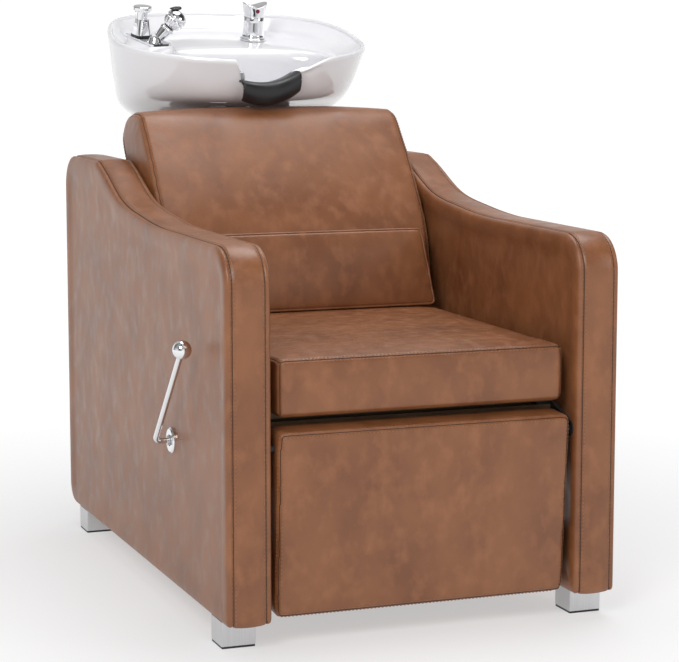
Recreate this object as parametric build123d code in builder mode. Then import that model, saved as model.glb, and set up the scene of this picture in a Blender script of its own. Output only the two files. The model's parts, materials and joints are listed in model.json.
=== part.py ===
from build123d import *
import os
from math import atan2, cos, degrees, hypot, radians, sin

# Shampoo backwash unit: an upholstered armchair with a lever-driven footrest and, behind its
# backrest, a tilting ceramic basin with its tap, sprayer and waste.
#
# Millimetres, +Z up, +Y towards the basin, +X towards the sitter's left hand.
# The origin is on the floor, at the centre of the four legs' levelling-foot holes.

# ---------------------------------------------------------------- driving dimensions
overall_width = 650.0
arm_depth = 1000.0
arm_thickness = 66.0
arm_bottom = 42.5
arm_front = -490.0
arm_low_top = 622.0
arm_high_top = 708.0
arm_corner_radius = 60.0
arm_panel_thickness = 36.0
arm_panel_inset = 16.0

leg_size = 55.0
leg_wall = 2.5
leg_plate = 4.0
leg_pad_height = 3.5
leg_outer_inset = 0.5
front_leg_depth = 70.0
rear_leg_depth = 910.0
levelling_hole_radius = 4.25
leg_bolt_radius = 4.0

seat_half_width = 238.0
seat_front = 16.0
seat_rear = 568.0
seat_bottom = 357.0
seat_top = 450.0
seat_corner_radius = 14.0
board_thickness = 12.0
rail_plate = 5.0
rail_front = 92.0
rail_rear = 620.0
rail_bottom = 300.0

footrest_half_width = 241.0
footrest_top = 340.0
footrest_height = 297.0
footrest_pad_thickness = 66.0
footrest_front = -5.0
footrest_lean = 4.0
hinge_depth = 24.0
hinge_height = 312.0
hinge_pin_radius = 5.0
side_plate = 3.0

shaft_depth = 298.0
shaft_height = 282.0
shaft_radius = 8.0
crank_depth = 70.0
crank_drop = 80.0
link_pin_radius = 4.0
crank_plate = 5.0
link_plate = 6.0
link_half_spacing = 234.0
running_clearance = 0.05
open_pivot_clearance = 0.3

lever_rod_radius = 4.75
lever_reach = 30.0
lever_lean = 42.8
lever_length = 234.0
knob_radius = 15.0
escutcheon_radius = 21.0
escutcheon_height = 6.0

backrest_half_width = 250.0
backrest_board_thickness = 12.0
pillow_half_width = 228.0
pillow_thickness = 50.0
pillow_height = 146.0
pillow_lean = 13.0

basin_tilt = 11.2
basin_depth_station = 937.0
basin_rim_height = 923.0
basin_half_width = 245.0
deck_drop = 26.0
ledge_drop = 16.0
pivot_depth = 1000.0
pivot_height = 715.0
pivot_radius = 6.0
notch_floor = 838.0
notch_corner = 36.0
notch_half_width = 58.0
neck_rest_thickness = 9.0
drain_depth = 960.0
drain_radius = 24.0
drain_seat = 762.0
tailpiece_radius = 19.0

tap_x = 70.0
tap_station = 125.0
tap_base_radius = 24.0
tap_body_radius = 19.5
tap_handle_radius = 21.5
tap_neck_height = 46.0
tap_top_height = 74.0
tap_lift_gap = 1.0

plate_length = 112.0
plate_width = 42.0
plate_turn = 12.0
plate_thickness = 4.0
plate_x = -160.0
plate_station = 70.0
plate_corner = 5.0
breaker_offset = 26.0
sprayer_offset = -30.0
sprayer_lean = 42.0
spray_ball_radius = 20.0

gap = 0.3

# ---------------------------------------------------------------- derived places
half_width = overall_width / 2
arm_inner = half_width - arm_thickness
panel_inner = arm_inner + (arm_thickness - arm_panel_thickness) / 2
panel_outer = panel_inner + arm_panel_thickness
leg_centre = half_width - leg_outer_inset - leg_size / 2
leg_top = arm_bottom


def at(depth):
    """Y of a point that lies this far behind the front of the arms."""
    return arm_front + depth


def side_plane(x):
    """A plane facing +X whose own axes are Y and Z."""
    return Plane(origin=(x, 0, 0), x_dir=(0, 1, 0), z_dir=(1, 0, 0))


def level(height):
    return Plane.XY.offset(height)


lean = radians(footrest_lean)
footrest_plane = Plane(
    origin=(0, at(footrest_front), footrest_top),
    x_dir=(1, 0, 0),
    z_dir=(0, -cos(lean), -sin(lean)),
)
tilt = radians(basin_tilt)
rim_plane = Plane(
    origin=(0, at(basin_depth_station), basin_rim_height),
    x_dir=(1, 0, 0),
    z_dir=(0, -sin(tilt), cos(tilt)),
)
crank_radius = hypot(crank_depth, crank_drop)
link_front = (at(hinge_depth + crank_depth), hinge_height - crank_drop)
link_rear = (at(shaft_depth + crank_depth), shaft_height - crank_drop)

os.makedirs("parts", exist_ok=True)


def save(part, name):
    part.label = name
    export_step(part, f"parts/{name}.step")


def rod_along_x(x_start, x_end, y, z, radius):
    """A private round bar along X, for adding or cutting."""
    bar = Cylinder(radius, x_end - x_start, mode=Mode.PRIVATE)
    return Pos((x_start + x_end) / 2, y, z) * Rot(0, 90, 0) * bar


# ---------------------------------------------------------------- arms
def arm_outline(inset, corner):
    """Side profile of an arm: low over the seat, sweeping up to the backrest's shoulder."""
    low, high = arm_low_top - inset, arm_high_top - inset
    base = arm_bottom
    front, rear = at(inset), at(arm_depth - inset)
    with BuildSketch() as outline:
        with BuildLine():
            Line((front + 6, base), (rear - 40, base))
            TangentArc((rear - 40, base), (rear, base + 40), tangent=(1, 0))
            Line((rear, base + 40), (rear, high - corner))
            TangentArc((rear, high - corner), (rear - corner, high), tangent=(0, 1))
            Line((rear - corner, high), (at(775), high))
            Spline(
                (at(775), high),
                (at(751), high - 7),
                (at(616), high - 59),
                (at(487), low + 9),
                (at(330), low),
                tangents=[(-1, 0), (-1, 0)],
            )
            Line((at(330), low), (front + corner, low))
            TangentArc((front + corner, low), (front, low - corner), tangent=(-1, 0))
            Line((front, low - corner), (front, base + 6))
            TangentArc((front, base + 6), (front + 6, base), tangent=(0, -1))
        make_face()
    return outline.sketch


for side, hand in ((-1, "right"), (1, "left")):
    inner, outer = side * panel_inner, side * panel_outer
    with BuildPart() as arm_panel:
        with BuildSketch(side_plane(min(inner, outer))):
            add(arm_outline(arm_panel_inset, arm_corner_radius - arm_panel_inset))
        extrude(amount=arm_panel_thickness)
        with BuildSketch(side_plane(min(inner, outer))):
            with Locations((at(shaft_depth), shaft_height)):
                Circle(shaft_radius + 4)
        extrude(amount=arm_panel_thickness, mode=Mode.SUBTRACT)
        for depth in (front_leg_depth, rear_leg_depth):
            with BuildSketch(level(arm_bottom)):
                with Locations((side * leg_centre, at(depth))):
                    Circle(leg_bolt_radius)
            extrude(amount=30, mode=Mode.SUBTRACT)
    save(arm_panel.part, f"{hand}_arm_panel")

    with BuildPart() as arm_cover:
        with BuildSketch(side_plane(min(side * arm_inner, side * half_width))):
            add(arm_outline(0, arm_corner_radius))
        extrude(amount=arm_thickness)
        with BuildSketch(side_plane(min(inner, outer))):
            add(arm_outline(arm_panel_inset, arm_corner_radius - arm_panel_inset))
        extrude(amount=arm_panel_thickness, mode=Mode.SUBTRACT)
        cut_from, cut_to = sorted((side * (arm_inner - 1), inner))
        if side < 0:
            cut_from = -half_width - 1
        add(
            rod_along_x(cut_from, cut_to, at(shaft_depth), shaft_height, shaft_radius + 5),
            mode=Mode.SUBTRACT,
        )
    save(arm_cover.part, f"{hand}_arm_cover")

# ---------------------------------------------------------------- legs
leg_places = {
    "front_right": (-leg_centre, front_leg_depth),
    "front_left": (leg_centre, front_leg_depth),
    "rear_right": (-leg_centre, rear_leg_depth),
    "rear_left": (leg_centre, rear_leg_depth),
}
for place, (x, depth) in leg_places.items():
    with BuildPart() as leg:
        with BuildSketch(level(leg_pad_height)):
            with Locations((x, at(depth))):
                RectangleRounded(leg_size, leg_size, 2)
        extrude(amount=leg_top - leg_pad_height)
        with BuildSketch(level(leg_pad_height + leg_plate)):
            with Locations((x, at(depth))):
                Rectangle(leg_size - 2 * leg_wall, leg_size - 2 * leg_wall)
        extrude(amount=leg_top - leg_pad_height - 2 * leg_plate, mode=Mode.SUBTRACT)
        with BuildSketch(level(leg_pad_height)):
            with Locations((x, at(depth))):
                Circle(levelling_hole_radius)
        extrude(amount=leg_plate, mode=Mode.SUBTRACT)
        with BuildSketch(level(leg_top - leg_plate)):
            with Locations((x, at(depth))):
                Circle(leg_bolt_radius)
        extrude(amount=leg_plate, mode=Mode.SUBTRACT)
    save(leg.part, f"{place}_leg")

with BuildPart() as leg_pads:
    with BuildSketch(level(0)):
        for x, depth in leg_places.values():
            with Locations((x, at(depth))):
                RectangleRounded(leg_size - 1, leg_size - 1, 2)
                Circle(levelling_hole_radius, mode=Mode.SUBTRACT)
    extrude(amount=leg_pad_height)
save(leg_pads.part, "leg_pads")

with BuildPart() as leg_bolts:
    for x, depth in leg_places.values():
        with BuildSketch(level(leg_top - leg_plate)):
            with Locations((x, at(depth))):
                Circle(leg_bolt_radius)
        extrude(amount=28)
        with BuildSketch(level(leg_top - leg_plate - 5)):
            with Locations((x, at(depth))):
                RegularPolygon(7.5, 6)
        extrude(amount=5)
save(leg_bolts.part, "leg_bolts")

# ---------------------------------------------------------------- seat frame
for side, hand in ((-1, "right"), (1, "left")):
    plate_face = side * (arm_inner - rail_plate) if side > 0 else -arm_inner
    with BuildPart() as seat_rail:
        with BuildSketch(side_plane(plate_face)):
            with BuildLine():
                Polyline(
                    (at(hinge_depth), hinge_height - 13),
                    (at(rail_front), rail_bottom),
                    (at(rail_rear), rail_bottom),
                    (at(rail_rear), seat_bottom - board_thickness),
                    (at(rail_front), seat_bottom - board_thickness),
                    (at(hinge_depth), hinge_height + 13),
                    close=True,
                )
            make_face()
            with Locations((at(hinge_depth), hinge_height)):
                Circle(13)
                Circle(hinge_pin_radius + running_clearance, mode=Mode.SUBTRACT)
        extrude(amount=rail_plate)
        with BuildSketch(level(seat_bottom - board_thickness - rail_plate)):
            with Locations((side * (arm_inner - 15), at((rail_front + rail_rear) / 2))):
                Rectangle(30, rail_rear - rail_front)
        extrude(amount=rail_plate)
    save(seat_rail.part, f"{hand}_seat_rail")

cross_rail_top = seat_bottom - board_thickness - rail_plate
for name, depth in (("front_seat_rail", rail_front), ("rear_seat_rail", rail_rear - 30)):
    with BuildPart() as cross_rail:
        with BuildSketch(level(rail_bottom)):
            with Locations((0, at(depth + 15))):
                Rectangle(2 * (arm_inner - rail_plate), 30)
        extrude(amount=cross_rail_top - rail_bottom)
    save(cross_rail.part, name)

with BuildPart() as seat_board:
    with BuildSketch(level(seat_bottom - board_thickness)):
        with Locations((0, at((rail_front + rail_rear) / 2))):
            Rectangle(2 * arm_inner - 8, rail_rear - rail_front)
    extrude(amount=board_thickness)
save(seat_board.part, "seat_board")

with BuildPart() as seat_cushion:
    with BuildSketch(level(seat_bottom)):
        with Locations((0, at((seat_front + seat_rear) / 2))):
            RectangleRounded(2 * seat_half_width, seat_rear - seat_front, seat_corner_radius)
    extrude(amount=seat_top - seat_bottom)
    fillet(seat_cushion.faces().sort_by(Axis.Z)[-1].edges(), 8)
save(seat_cushion.part, "seat_cushion")

# ---------------------------------------------------------------- lower rails and rear wall
rail_width = 2 * arm_inner
rear_rail_depth = 905.0
for name, depth, low, high in (
    ("lower_front_rail", 130, 60, 130),
    ("lower_rear_rail", rear_rail_depth, 60, 130),
    ("upper_rear_rail", rear_rail_depth, 560, 620),
):
    with BuildPart() as frame_rail:
        with BuildSketch(level(low)):
            with Locations((0, at(depth + 12.5))):
                Rectangle(rail_width, 25)
        extrude(amount=high - low)
        if "rear" in name:
            for x in (-120, 120):
                bolt_hole = Pos(x, at(depth + 12.5), (low + high) / 2) * Rot(90, 0, 0)
                add(bolt_hole * Cylinder(4, 25, mode=Mode.PRIVATE), mode=Mode.SUBTRACT)
    save(frame_rail.part, name)

rear_panel_depth = 985.0
rear_panel_thickness = 14.0
with BuildPart() as rear_panel:
    with BuildSketch(level(60)):
        with Locations((0, at(rear_panel_depth + rear_panel_thickness / 2))):
            Rectangle(rail_width, rear_panel_thickness)
    extrude(amount=620)
save(rear_panel.part, "rear_panel")

# ---------------------------------------------------------------- backrest
with BuildPart() as backrest_cushion:
    with BuildSketch(side_plane(-backrest_half_width)):
        with BuildLine():
            Line((at(571), 452), (at(583), 546))
            Spline(
                (at(583), 546),
                (at(600), 592),
                (at(624), 632),
                tangents=[(0.13, 0.99), (0.59, 0.81)],
            )
            Line((at(624), 632), (at(738), 790))
            TangentArc((at(738), 790), (at(757), 800), tangent=(0.59, 0.81))
            Line((at(757), 800), (at(817), 798))
            Line((at(817), 798), (at(852), 762))
            Line((at(852), 762), (at(850), 712))
            Line((at(850), 712), (at(700), 500))
            Line((at(700), 500), (at(690), 452))
            Line((at(690), 452), (at(571), 452))
        make_face()
    extrude(amount=2 * backrest_half_width)
save(backrest_cushion.part, "backrest_cushion")

board_run = (at(850) - at(700), 712 - 500)
board_length = hypot(*board_run)
board_turn = degrees(atan2(board_run[1], board_run[0]))
board_plane = Plane(
    origin=(0, at(700), 500),
    x_dir=(1, 0, 0),
    z_dir=(0, sin(radians(board_turn)), -cos(radians(board_turn))),
)
with BuildPart() as backrest_board:
    with BuildSketch(board_plane.offset(gap)):
        with Locations((0, -board_length / 2 + 4)):
            Rectangle(2 * backrest_half_width - 20, board_length - 20)
    extrude(amount=backrest_board_thickness)
save(backrest_board.part, "backrest_board")

with BuildPart() as backrest_battens:
    with BuildSketch(board_plane.offset(gap + backrest_board_thickness)):
        with Locations((0, -board_length / 2 + 14)):
            with GridLocations(2 * (arm_inner - 16), 0, 2, 1):
                Rectangle(32, board_length - 60)
    extrude(amount=25)
save(backrest_battens.part, "backrest_battens")

pillow_rake = radians(pillow_lean)
pillow_plane = Plane(
    origin=(0, at(508), seat_top + 2),
    x_dir=(1, 0, 0),
    z_dir=(0, -cos(pillow_rake), sin(pillow_rake)),
)
with BuildPart() as lumbar_pillow:
    with BuildSketch(pillow_plane):
        with Locations((0, pillow_height / 2)):
            RectangleRounded(2 * pillow_half_width, pillow_height, 12)
    extrude(amount=-pillow_thickness)
    split(bisect_by=level(seat_top + 0.2), keep=Keep.TOP)
save(lumbar_pillow.part, "lumbar_pillow")

# ---------------------------------------------------------------- footrest
with BuildPart() as footrest_pad:
    with BuildSketch(footrest_plane):
        with Locations((0, -footrest_height / 2)):
            RectangleRounded(2 * footrest_half_width, footrest_height, 16)
    extrude(amount=-footrest_pad_thickness)
    fillet(footrest_pad.faces().sort_by(Axis.Y)[0].edges(), 7)
save(footrest_pad.part, "footrest_pad")

with BuildPart() as footrest_board:
    with BuildSketch(footrest_plane.offset(-footrest_pad_thickness - board_thickness)):
        with Locations((0, -footrest_height / 2)):
            Rectangle(2 * footrest_half_width - 16, footrest_height - 20)
    extrude(amount=board_thickness)
save(footrest_board.part, "footrest_board")

inner_face = footrest_half_width + gap
with BuildPart() as footrest_brackets:
    for side in (-1, 1):
        bracket_face = inner_face if side > 0 else -inner_face - side_plate
        with BuildSketch(side_plane(bracket_face)):
            with BuildLine():
                Polyline(
                    (at(hinge_depth - 6), hinge_height + 10),
                    (at(hinge_depth - 6), hinge_height - 10),
                    (link_front[0] - 8, link_front[1] - 6),
                    (link_front[0] + 8, link_front[1] - 4),
                    (link_front[0] + 8, link_front[1] + 10),
                    (at(hinge_depth + 40), hinge_height + 10),
                    close=True,
                )
            make_face()
            with Locations((at(hinge_depth), hinge_height)):
                Circle(12)
            with Locations(link_front):
                Circle(10)
        extrude(amount=side_plate)
    with BuildSketch(footrest_plane.offset(-footrest_pad_thickness - board_thickness - 3)):
        with Locations((0, -82)):
            with GridLocations(2 * inner_face - 28, 0, 2, 1):
                Rectangle(28, 70)
    extrude(amount=3)
save(footrest_brackets.part, "footrest_brackets")

with BuildPart() as footrest_pins:
    for side in (-1, 1):
        start, end = sorted((side * (inner_face + side_plate), side * (arm_inner - 1)))
        add(rod_along_x(start, end, at(hinge_depth), hinge_height, hinge_pin_radius))
        start, end = sorted((side * (link_half_spacing - 2), side * inner_face))
        add(rod_along_x(start, end, *link_front, link_pin_radius))
save(footrest_pins.part, "footrest_pins")

# ---------------------------------------------------------------- lever, shaft and links
shaft_y = at(shaft_depth)
shaft_start = -half_width - escutcheon_height - 4
with BuildPart() as cross_shaft:
    add(rod_along_x(shaft_start, panel_inner + 20, shaft_y, shaft_height, shaft_radius))
    add(
        rod_along_x(shaft_start, shaft_start + 40, shaft_y, shaft_height, lever_rod_radius),
        mode=Mode.SUBTRACT,
    )
save(cross_shaft.part, "cross_shaft")

with BuildPart() as shaft_bushes:
    for side in (-1, 1):
        start, end = sorted((side * panel_inner, side * panel_outer))
        add(rod_along_x(start, end, shaft_y, shaft_height, shaft_radius + 4))
        add(
            rod_along_x(start, end, shaft_y, shaft_height, shaft_radius + running_clearance),
            mode=Mode.SUBTRACT,
        )
save(shaft_bushes.part, "shaft_bushes")

crank_inner = link_half_spacing + link_plate + 1.5
crank_middle = ((shaft_y + link_rear[0]) / 2, (shaft_height + link_rear[1]) / 2)
with BuildPart() as cranks:
    for side in (-1, 1):
        crank_face = crank_inner if side > 0 else -crank_inner - crank_plate
        with BuildSketch(side_plane(crank_face)):
            with Locations((shaft_y, shaft_height)):
                Circle(15)
            with Locations(link_rear):
                Circle(11)
            with Locations(Location(crank_middle, degrees(atan2(-crank_drop, crank_depth)))):
                Rectangle(crank_radius, 20)
            with Locations((shaft_y, shaft_height)):
                Circle(shaft_radius, mode=Mode.SUBTRACT)
        extrude(amount=crank_plate)
        start, end = sorted((side * (link_half_spacing - 2), side * crank_inner))
        add(rod_along_x(start, end, *link_rear, link_pin_radius))
save(cranks.part, "cranks")

for side, hand in ((-1, "right"), (1, "left")):
    link_face = link_half_spacing if side > 0 else -link_half_spacing - link_plate
    run = (link_rear[0] - link_front[0], link_rear[1] - link_front[1])
    centre = ((link_rear[0] + link_front[0]) / 2, (link_rear[1] + link_front[1]) / 2)
    with BuildPart() as push_rod:
        with BuildSketch(side_plane(link_face)):
            with Locations(Location(centre, degrees(atan2(run[1], run[0])))):
                SlotCenterToCenter(hypot(*run), 18)
            with Locations(link_front):
                Circle(link_pin_radius + open_pivot_clearance, mode=Mode.SUBTRACT)
            with Locations(link_rear):
                Circle(link_pin_radius + running_clearance, mode=Mode.SUBTRACT)
        extrude(amount=link_plate)
    save(push_rod.part, f"{hand}_push_rod")

elbow_x = -half_width - lever_reach
bend = 12.0
rake = radians(lever_lean)
knob_y = shaft_y - lever_length * sin(rake)
knob_z = shaft_height + lever_length * cos(rake)
with BuildPart() as lever_rod:
    with BuildLine() as rod_path:
        FilletPolyline(
            (shaft_start + 40, shaft_y, shaft_height),
            (elbow_x, shaft_y, shaft_height),
            (elbow_x, knob_y, knob_z),
            radius=bend,
        )
    with BuildSketch(Plane(origin=rod_path.line @ 0, z_dir=rod_path.line % 0)):
        Circle(lever_rod_radius)
    sweep()
save(lever_rod.part, "lever_rod")

with BuildPart() as lever_knob:
    with Locations((elbow_x, knob_y, knob_z)):
        Sphere(knob_radius)
    add(lever_rod.part, mode=Mode.SUBTRACT)
save(lever_knob.part, "lever_knob")

with BuildPart() as lever_escutcheon:
    with BuildSketch(side_plane(-half_width - escutcheon_height)):
        with Locations((shaft_y, shaft_height)):
            Circle(escutcheon_radius)
            Circle(shaft_radius + 1.5, mode=Mode.SUBTRACT)
    extrude(amount=escutcheon_height)
    chamfer(lever_escutcheon.faces().sort_by(Axis.X)[0].edges().sort_by(SortBy.RADIUS)[-1], 2.5)
save(lever_escutcheon.part, "lever_escutcheon")

# ---------------------------------------------------------------- basin stand
with BuildPart() as basin_uprights:
    with BuildSketch(level(60)):
        with Locations((0, at(945))):
            with GridLocations(240, 0, 2, 1):
                RectangleRounded(30, 30, 3)
                Rectangle(25, 25, mode=Mode.SUBTRACT)
    extrude(amount=630)
    with BuildSketch(Plane.XZ.offset(-at(925))):
        with Locations((0, 342.5)):
            with GridLocations(240, 495, 2, 2):
                Circle(4)
    extrude(amount=-40, mode=Mode.SUBTRACT)
save(basin_uprights.part, "basin_uprights")

with BuildPart() as stand_bolts:
    with BuildSketch(Plane.XZ.offset(-at(960))):
        with Locations((0, 342.5)):
            with GridLocations(240, 495, 2, 2):
                RegularPolygon(7.5, 6)
    extrude(amount=-5)
    with BuildSketch(Plane.XZ.offset(-at(960))):
        with Locations((0, 342.5)):
            with GridLocations(240, 495, 2, 2):
                Circle(4)
    extrude(amount=54)
save(stand_bolts.part, "stand_bolts")

ear_x = 104.0
ear_plate = 6.0
with BuildPart() as tilt_bracket:
    with BuildSketch(level(690)):
        with Locations((0, at(975))):
            Rectangle(280, 110)
        with Locations((0, at(960))):
            Rectangle(96, 90, mode=Mode.SUBTRACT)
    extrude(amount=5)
    for side in (-1, 1):
        ear_face = ear_x if side > 0 else -ear_x - ear_plate
        with BuildSketch(side_plane(ear_face)):
            with Locations((at(pivot_depth), (690 + pivot_height) / 2)):
                Rectangle(34, pivot_height - 690)
            with Locations((at(pivot_depth), pivot_height)):
                Circle(13)
                Circle(pivot_radius, mode=Mode.SUBTRACT)
        extrude(amount=ear_plate)
save(tilt_bracket.part, "tilt_bracket")

cradle_top = 745.0
supply_hole_x = 66.0
supply_hole_depth = 1070.0
supply_hole_radius = 20.0
cradle_plate = 5.0
with BuildPart() as basin_cradle:
    with BuildSketch(level(cradle_top - cradle_plate)):
        with Locations((0, at(1015))):
            RectangleRounded(230, 180, 20)
        with Locations((0, at(drain_depth))):
            Circle(36, mode=Mode.SUBTRACT)
        with Locations((supply_hole_x, at(supply_hole_depth))):
            Circle(supply_hole_radius, mode=Mode.SUBTRACT)
    extrude(amount=cradle_plate)
    for side in (-1, 1):
        lug_face = ear_x - 7 if side > 0 else -ear_x + 1
        with BuildSketch(side_plane(lug_face)):
            with Locations((at(pivot_depth), (cradle_top + pivot_height) / 2)):
                Rectangle(30, cradle_top - pivot_height)
            with Locations((at(pivot_depth), pivot_height)):
                Circle(13)
                Circle(pivot_radius + running_clearance, mode=Mode.SUBTRACT)
        extrude(amount=6)
save(basin_cradle.part, "basin_cradle")

with BuildPart() as tilt_pins:
    for side in (-1, 1):
        start, end = sorted((side * (ear_x - 12), side * (ear_x + ear_plate)))
        add(rod_along_x(start, end, at(pivot_depth), pivot_height, pivot_radius))
        start, end = sorted((side * (ear_x + ear_plate), side * (ear_x + ear_plate + 5)))
        add(rod_along_x(start, end, at(pivot_depth), pivot_height, 10))
save(tilt_pins.part, "tilt_pins")


# ---------------------------------------------------------------- basin
def egg(half, front, rear, centre=0.0):
    """Two half ellipses meeting on the widest line, as a face in sketch coordinates."""
    with BuildSketch() as outline:
        with BuildLine():
            EllipticalCenterArc((0, centre), half, rear, start_angle=0, arc_size=180)
            EllipticalCenterArc((0, centre), half, front, start_angle=180, arc_size=180)
        make_face()
    return outline.sketch


neck_plane = Plane(
    origin=(0, at(975), 838),
    x_dir=(1, 0, 0),
    z_dir=(0, -sin(tilt / 2), cos(tilt / 2)),
)
wall = 11.0


def skirt(inset, top):
    """The basin's outer body, drawn in by an inset, from the cradle up to a plane on its rim."""
    with BuildPart() as body:
        with BuildSketch(level(cradle_top)):
            add(egg(130 - inset, 88 - inset, 112 - inset, at(1012)))
        with BuildSketch(level(795)):
            add(egg(209 - inset, 150 - inset, 200 - inset, at(999)))
        with BuildSketch(neck_plane):
            add(egg(229 - inset, 198 - inset, 225 - inset))
        with BuildSketch(rim_plane.offset(top)):
            add(egg(basin_half_width - inset, 197 - inset, 274 - inset))
        loft()
    return body.part


def pan(grow):
    """The washing well, from the deck down to the drain, widened by the given wall."""
    with BuildPart() as well:
        with BuildSketch(rim_plane.offset(1 - ledge_drop)):
            add(egg(170 + grow, 146 + grow, 74 + grow, -24))
        with BuildSketch(rim_plane.offset(-deck_drop - 24)):
            add(egg(160 + grow, 128 + grow, 66 + grow, -24))
        with BuildSketch(level(800 - grow / 2)):
            add(egg(128 + grow, 66 + grow, 74 + grow, at(938)))
        with BuildSketch(level(drain_seat - grow)):
            add(egg(50 + grow, 32 + grow, 40 + grow, at(drain_depth - 2)))
        loft()
    return well.part


def notch_outline(inset):
    """The neck notch seen from the front: straight sides on a flat, round-cornered floor."""
    with BuildSketch() as outline:
        with Locations((0, notch_floor + notch_corner)):
            SlotCenterToCenter(2 * (notch_half_width - notch_corner), 2 * (notch_corner - inset))
        with Locations((0, notch_floor + notch_corner + 40)):
            Rectangle(2 * (notch_half_width - inset), 80)
    return outline.sketch


outer_body = skirt(0, 0)
hollow = Pos(0, 0, wall) * skirt(wall, 0)
well_inside = pan(0)
well_outside = pan(wall)

with BuildPart() as recess:
    with BuildSketch(rim_plane.offset(1)):
        add(egg(basin_half_width - 12, 186, 262))
    with BuildSketch(rim_plane.offset(-deck_drop)):
        add(egg(basin_half_width - 34, 166, 224))
    loft()

with BuildPart() as under_deck:
    with BuildSketch(rim_plane.offset(-deck_drop - wall)):
        with Locations((0, 320)):
            Rectangle(700, 700)
    extrude(amount=-400)
    add(hollow, mode=Mode.INTERSECT)
    with BuildSketch(level(cradle_top - 1)):
        with Locations((supply_hole_x, at(supply_hole_depth))):
            Circle(supply_hole_radius)
    extrude(amount=30)

with BuildPart() as deep_well:
    add(well_outside & outer_body)
    split(bisect_by=rim_plane.offset(-deck_drop), keep=Keep.BOTTOM)

with BuildPart() as fittings_cut:
    with BuildSketch(Plane.XZ.offset(-at(720))):
        add(notch_outline(0))
    extrude(amount=-115)
    with BuildSketch(level(cradle_top - 1)):
        with Locations((0, at(drain_depth))):
            Circle(drain_radius - 1)
    extrude(amount=40)
    with BuildSketch(rim_plane.offset(-deck_drop - 60)):
        with Locations((tap_x, tap_station)):
            Circle(16)
    extrude(amount=70)

with BuildPart() as basin:
    add(outer_body)
    add(under_deck.part, mode=Mode.SUBTRACT)
    add(recess.part, mode=Mode.SUBTRACT)
    with BuildSketch(rim_plane.offset(-deck_drop - 2)):
        with Locations(Location((plate_x, plate_station), plate_turn)):
            RectangleRounded(plate_width + 8, plate_length + 8, plate_corner + 4)
    extrude(amount=deck_drop + 2 - ledge_drop)
    add(deep_well.part, mode=Mode.SUBTRACT)
    add(well_inside, mode=Mode.SUBTRACT)
    add(fittings_cut.part, mode=Mode.SUBTRACT)
save(basin.part, "basin")

with BuildPart() as basin_well:
    add(deep_well.part)
    add(well_inside, mode=Mode.SUBTRACT)
    add(fittings_cut.part, mode=Mode.SUBTRACT)
save(basin_well.part, "basin_well")

with BuildPart() as neck_rest:
    with BuildSketch(Plane.XZ.offset(-at(736))):
        with BuildLine():
            Polyline(
                (-notch_half_width, notch_floor + 28),
                (notch_half_width, notch_floor + 28),
                (notch_half_width - 4, notch_floor - 14),
                (26, notch_floor - 33),
                (-26, notch_floor - 33),
                (4 - notch_half_width, notch_floor - 14),
                close=True,
            )
        make_face()
    extrude(amount=-30)
    add(outer_body, mode=Mode.SUBTRACT)
    with BuildSketch(Plane.XZ.offset(-at(736))):
        add(notch_outline(0))
        with Locations((0, notch_floor + 28 + 60)):
            Rectangle(300, 120, mode=Mode.SUBTRACT)
    extrude(amount=-72)
    with BuildSketch(Plane.XZ.offset(-at(720))):
        add(notch_outline(neck_rest_thickness))
    extrude(amount=-115, mode=Mode.SUBTRACT)
save(neck_rest.part, "neck_rest")

# ---------------------------------------------------------------- waste
ledge = drain_seat - 6
with BuildPart() as drain_flange:
    with BuildSketch(level(drain_seat)):
        with Locations((0, at(drain_depth))):
            Circle(31)
    extrude(amount=2.5)
    with BuildSketch(level(cradle_top - 5)):
        with Locations((0, at(drain_depth))):
            Circle(drain_radius - 1.1)
    extrude(amount=drain_seat - cradle_top + 5)
    with BuildSketch(level(cradle_top - 5)):
        with Locations((0, at(drain_depth))):
            Circle(18.5)
    extrude(amount=40, mode=Mode.SUBTRACT)
    with BuildSketch(level(ledge)):
        with Locations((0, at(drain_depth))):
            Circle(20.6)
    extrude(amount=20, mode=Mode.SUBTRACT)
save(drain_flange.part, "drain_flange")

with BuildPart() as drain_strainer:
    with BuildSketch(level(ledge)):
        with Locations((0, at(drain_depth))):
            Circle(20.3)
            with PolarLocations(13, 8):
                Circle(3, mode=Mode.SUBTRACT)
    extrude(amount=2)
    with BuildSketch(level(ledge + 2)):
        with Locations((0, at(drain_depth))):
            Circle(5)
    extrude(amount=9)
    fillet(drain_strainer.faces().sort_by(Axis.Z)[-1].edges(), 2)
save(drain_strainer.part, "drain_strainer")

tail_bottom = 648.0
with BuildPart() as drain_tailpiece:
    with BuildSketch(level(cradle_top - 14)):
        with Locations((0, at(drain_depth))):
            RegularPolygon(33, 6)
    extrude(amount=14)
    with BuildSketch(level(cradle_top - 5)):
        with Locations((0, at(drain_depth))):
            Circle(drain_radius - 1.1)
    extrude(amount=20, mode=Mode.SUBTRACT)
    with BuildSketch(level(tail_bottom)):
        with Locations((0, at(drain_depth))):
            Circle(tailpiece_radius)
    extrude(amount=cradle_top - 8 - tail_bottom)
    with BuildSketch(level(tail_bottom)):
        with Locations((0, at(drain_depth))):
            Circle(tailpiece_radius - 2)
    extrude(amount=120, mode=Mode.SUBTRACT)
save(drain_tailpiece.part, "drain_tailpiece")

# ---------------------------------------------------------------- tap
rim_x, rim_z = rim_plane.x_dir, rim_plane.z_dir


def deck_plane(x, station, drop):
    """A plane parallel to the rim, centred on a point of the basin."""
    return Plane(origin=rim_plane.from_local_coords((x, station, -drop)), x_dir=rim_x, z_dir=rim_z)


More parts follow.
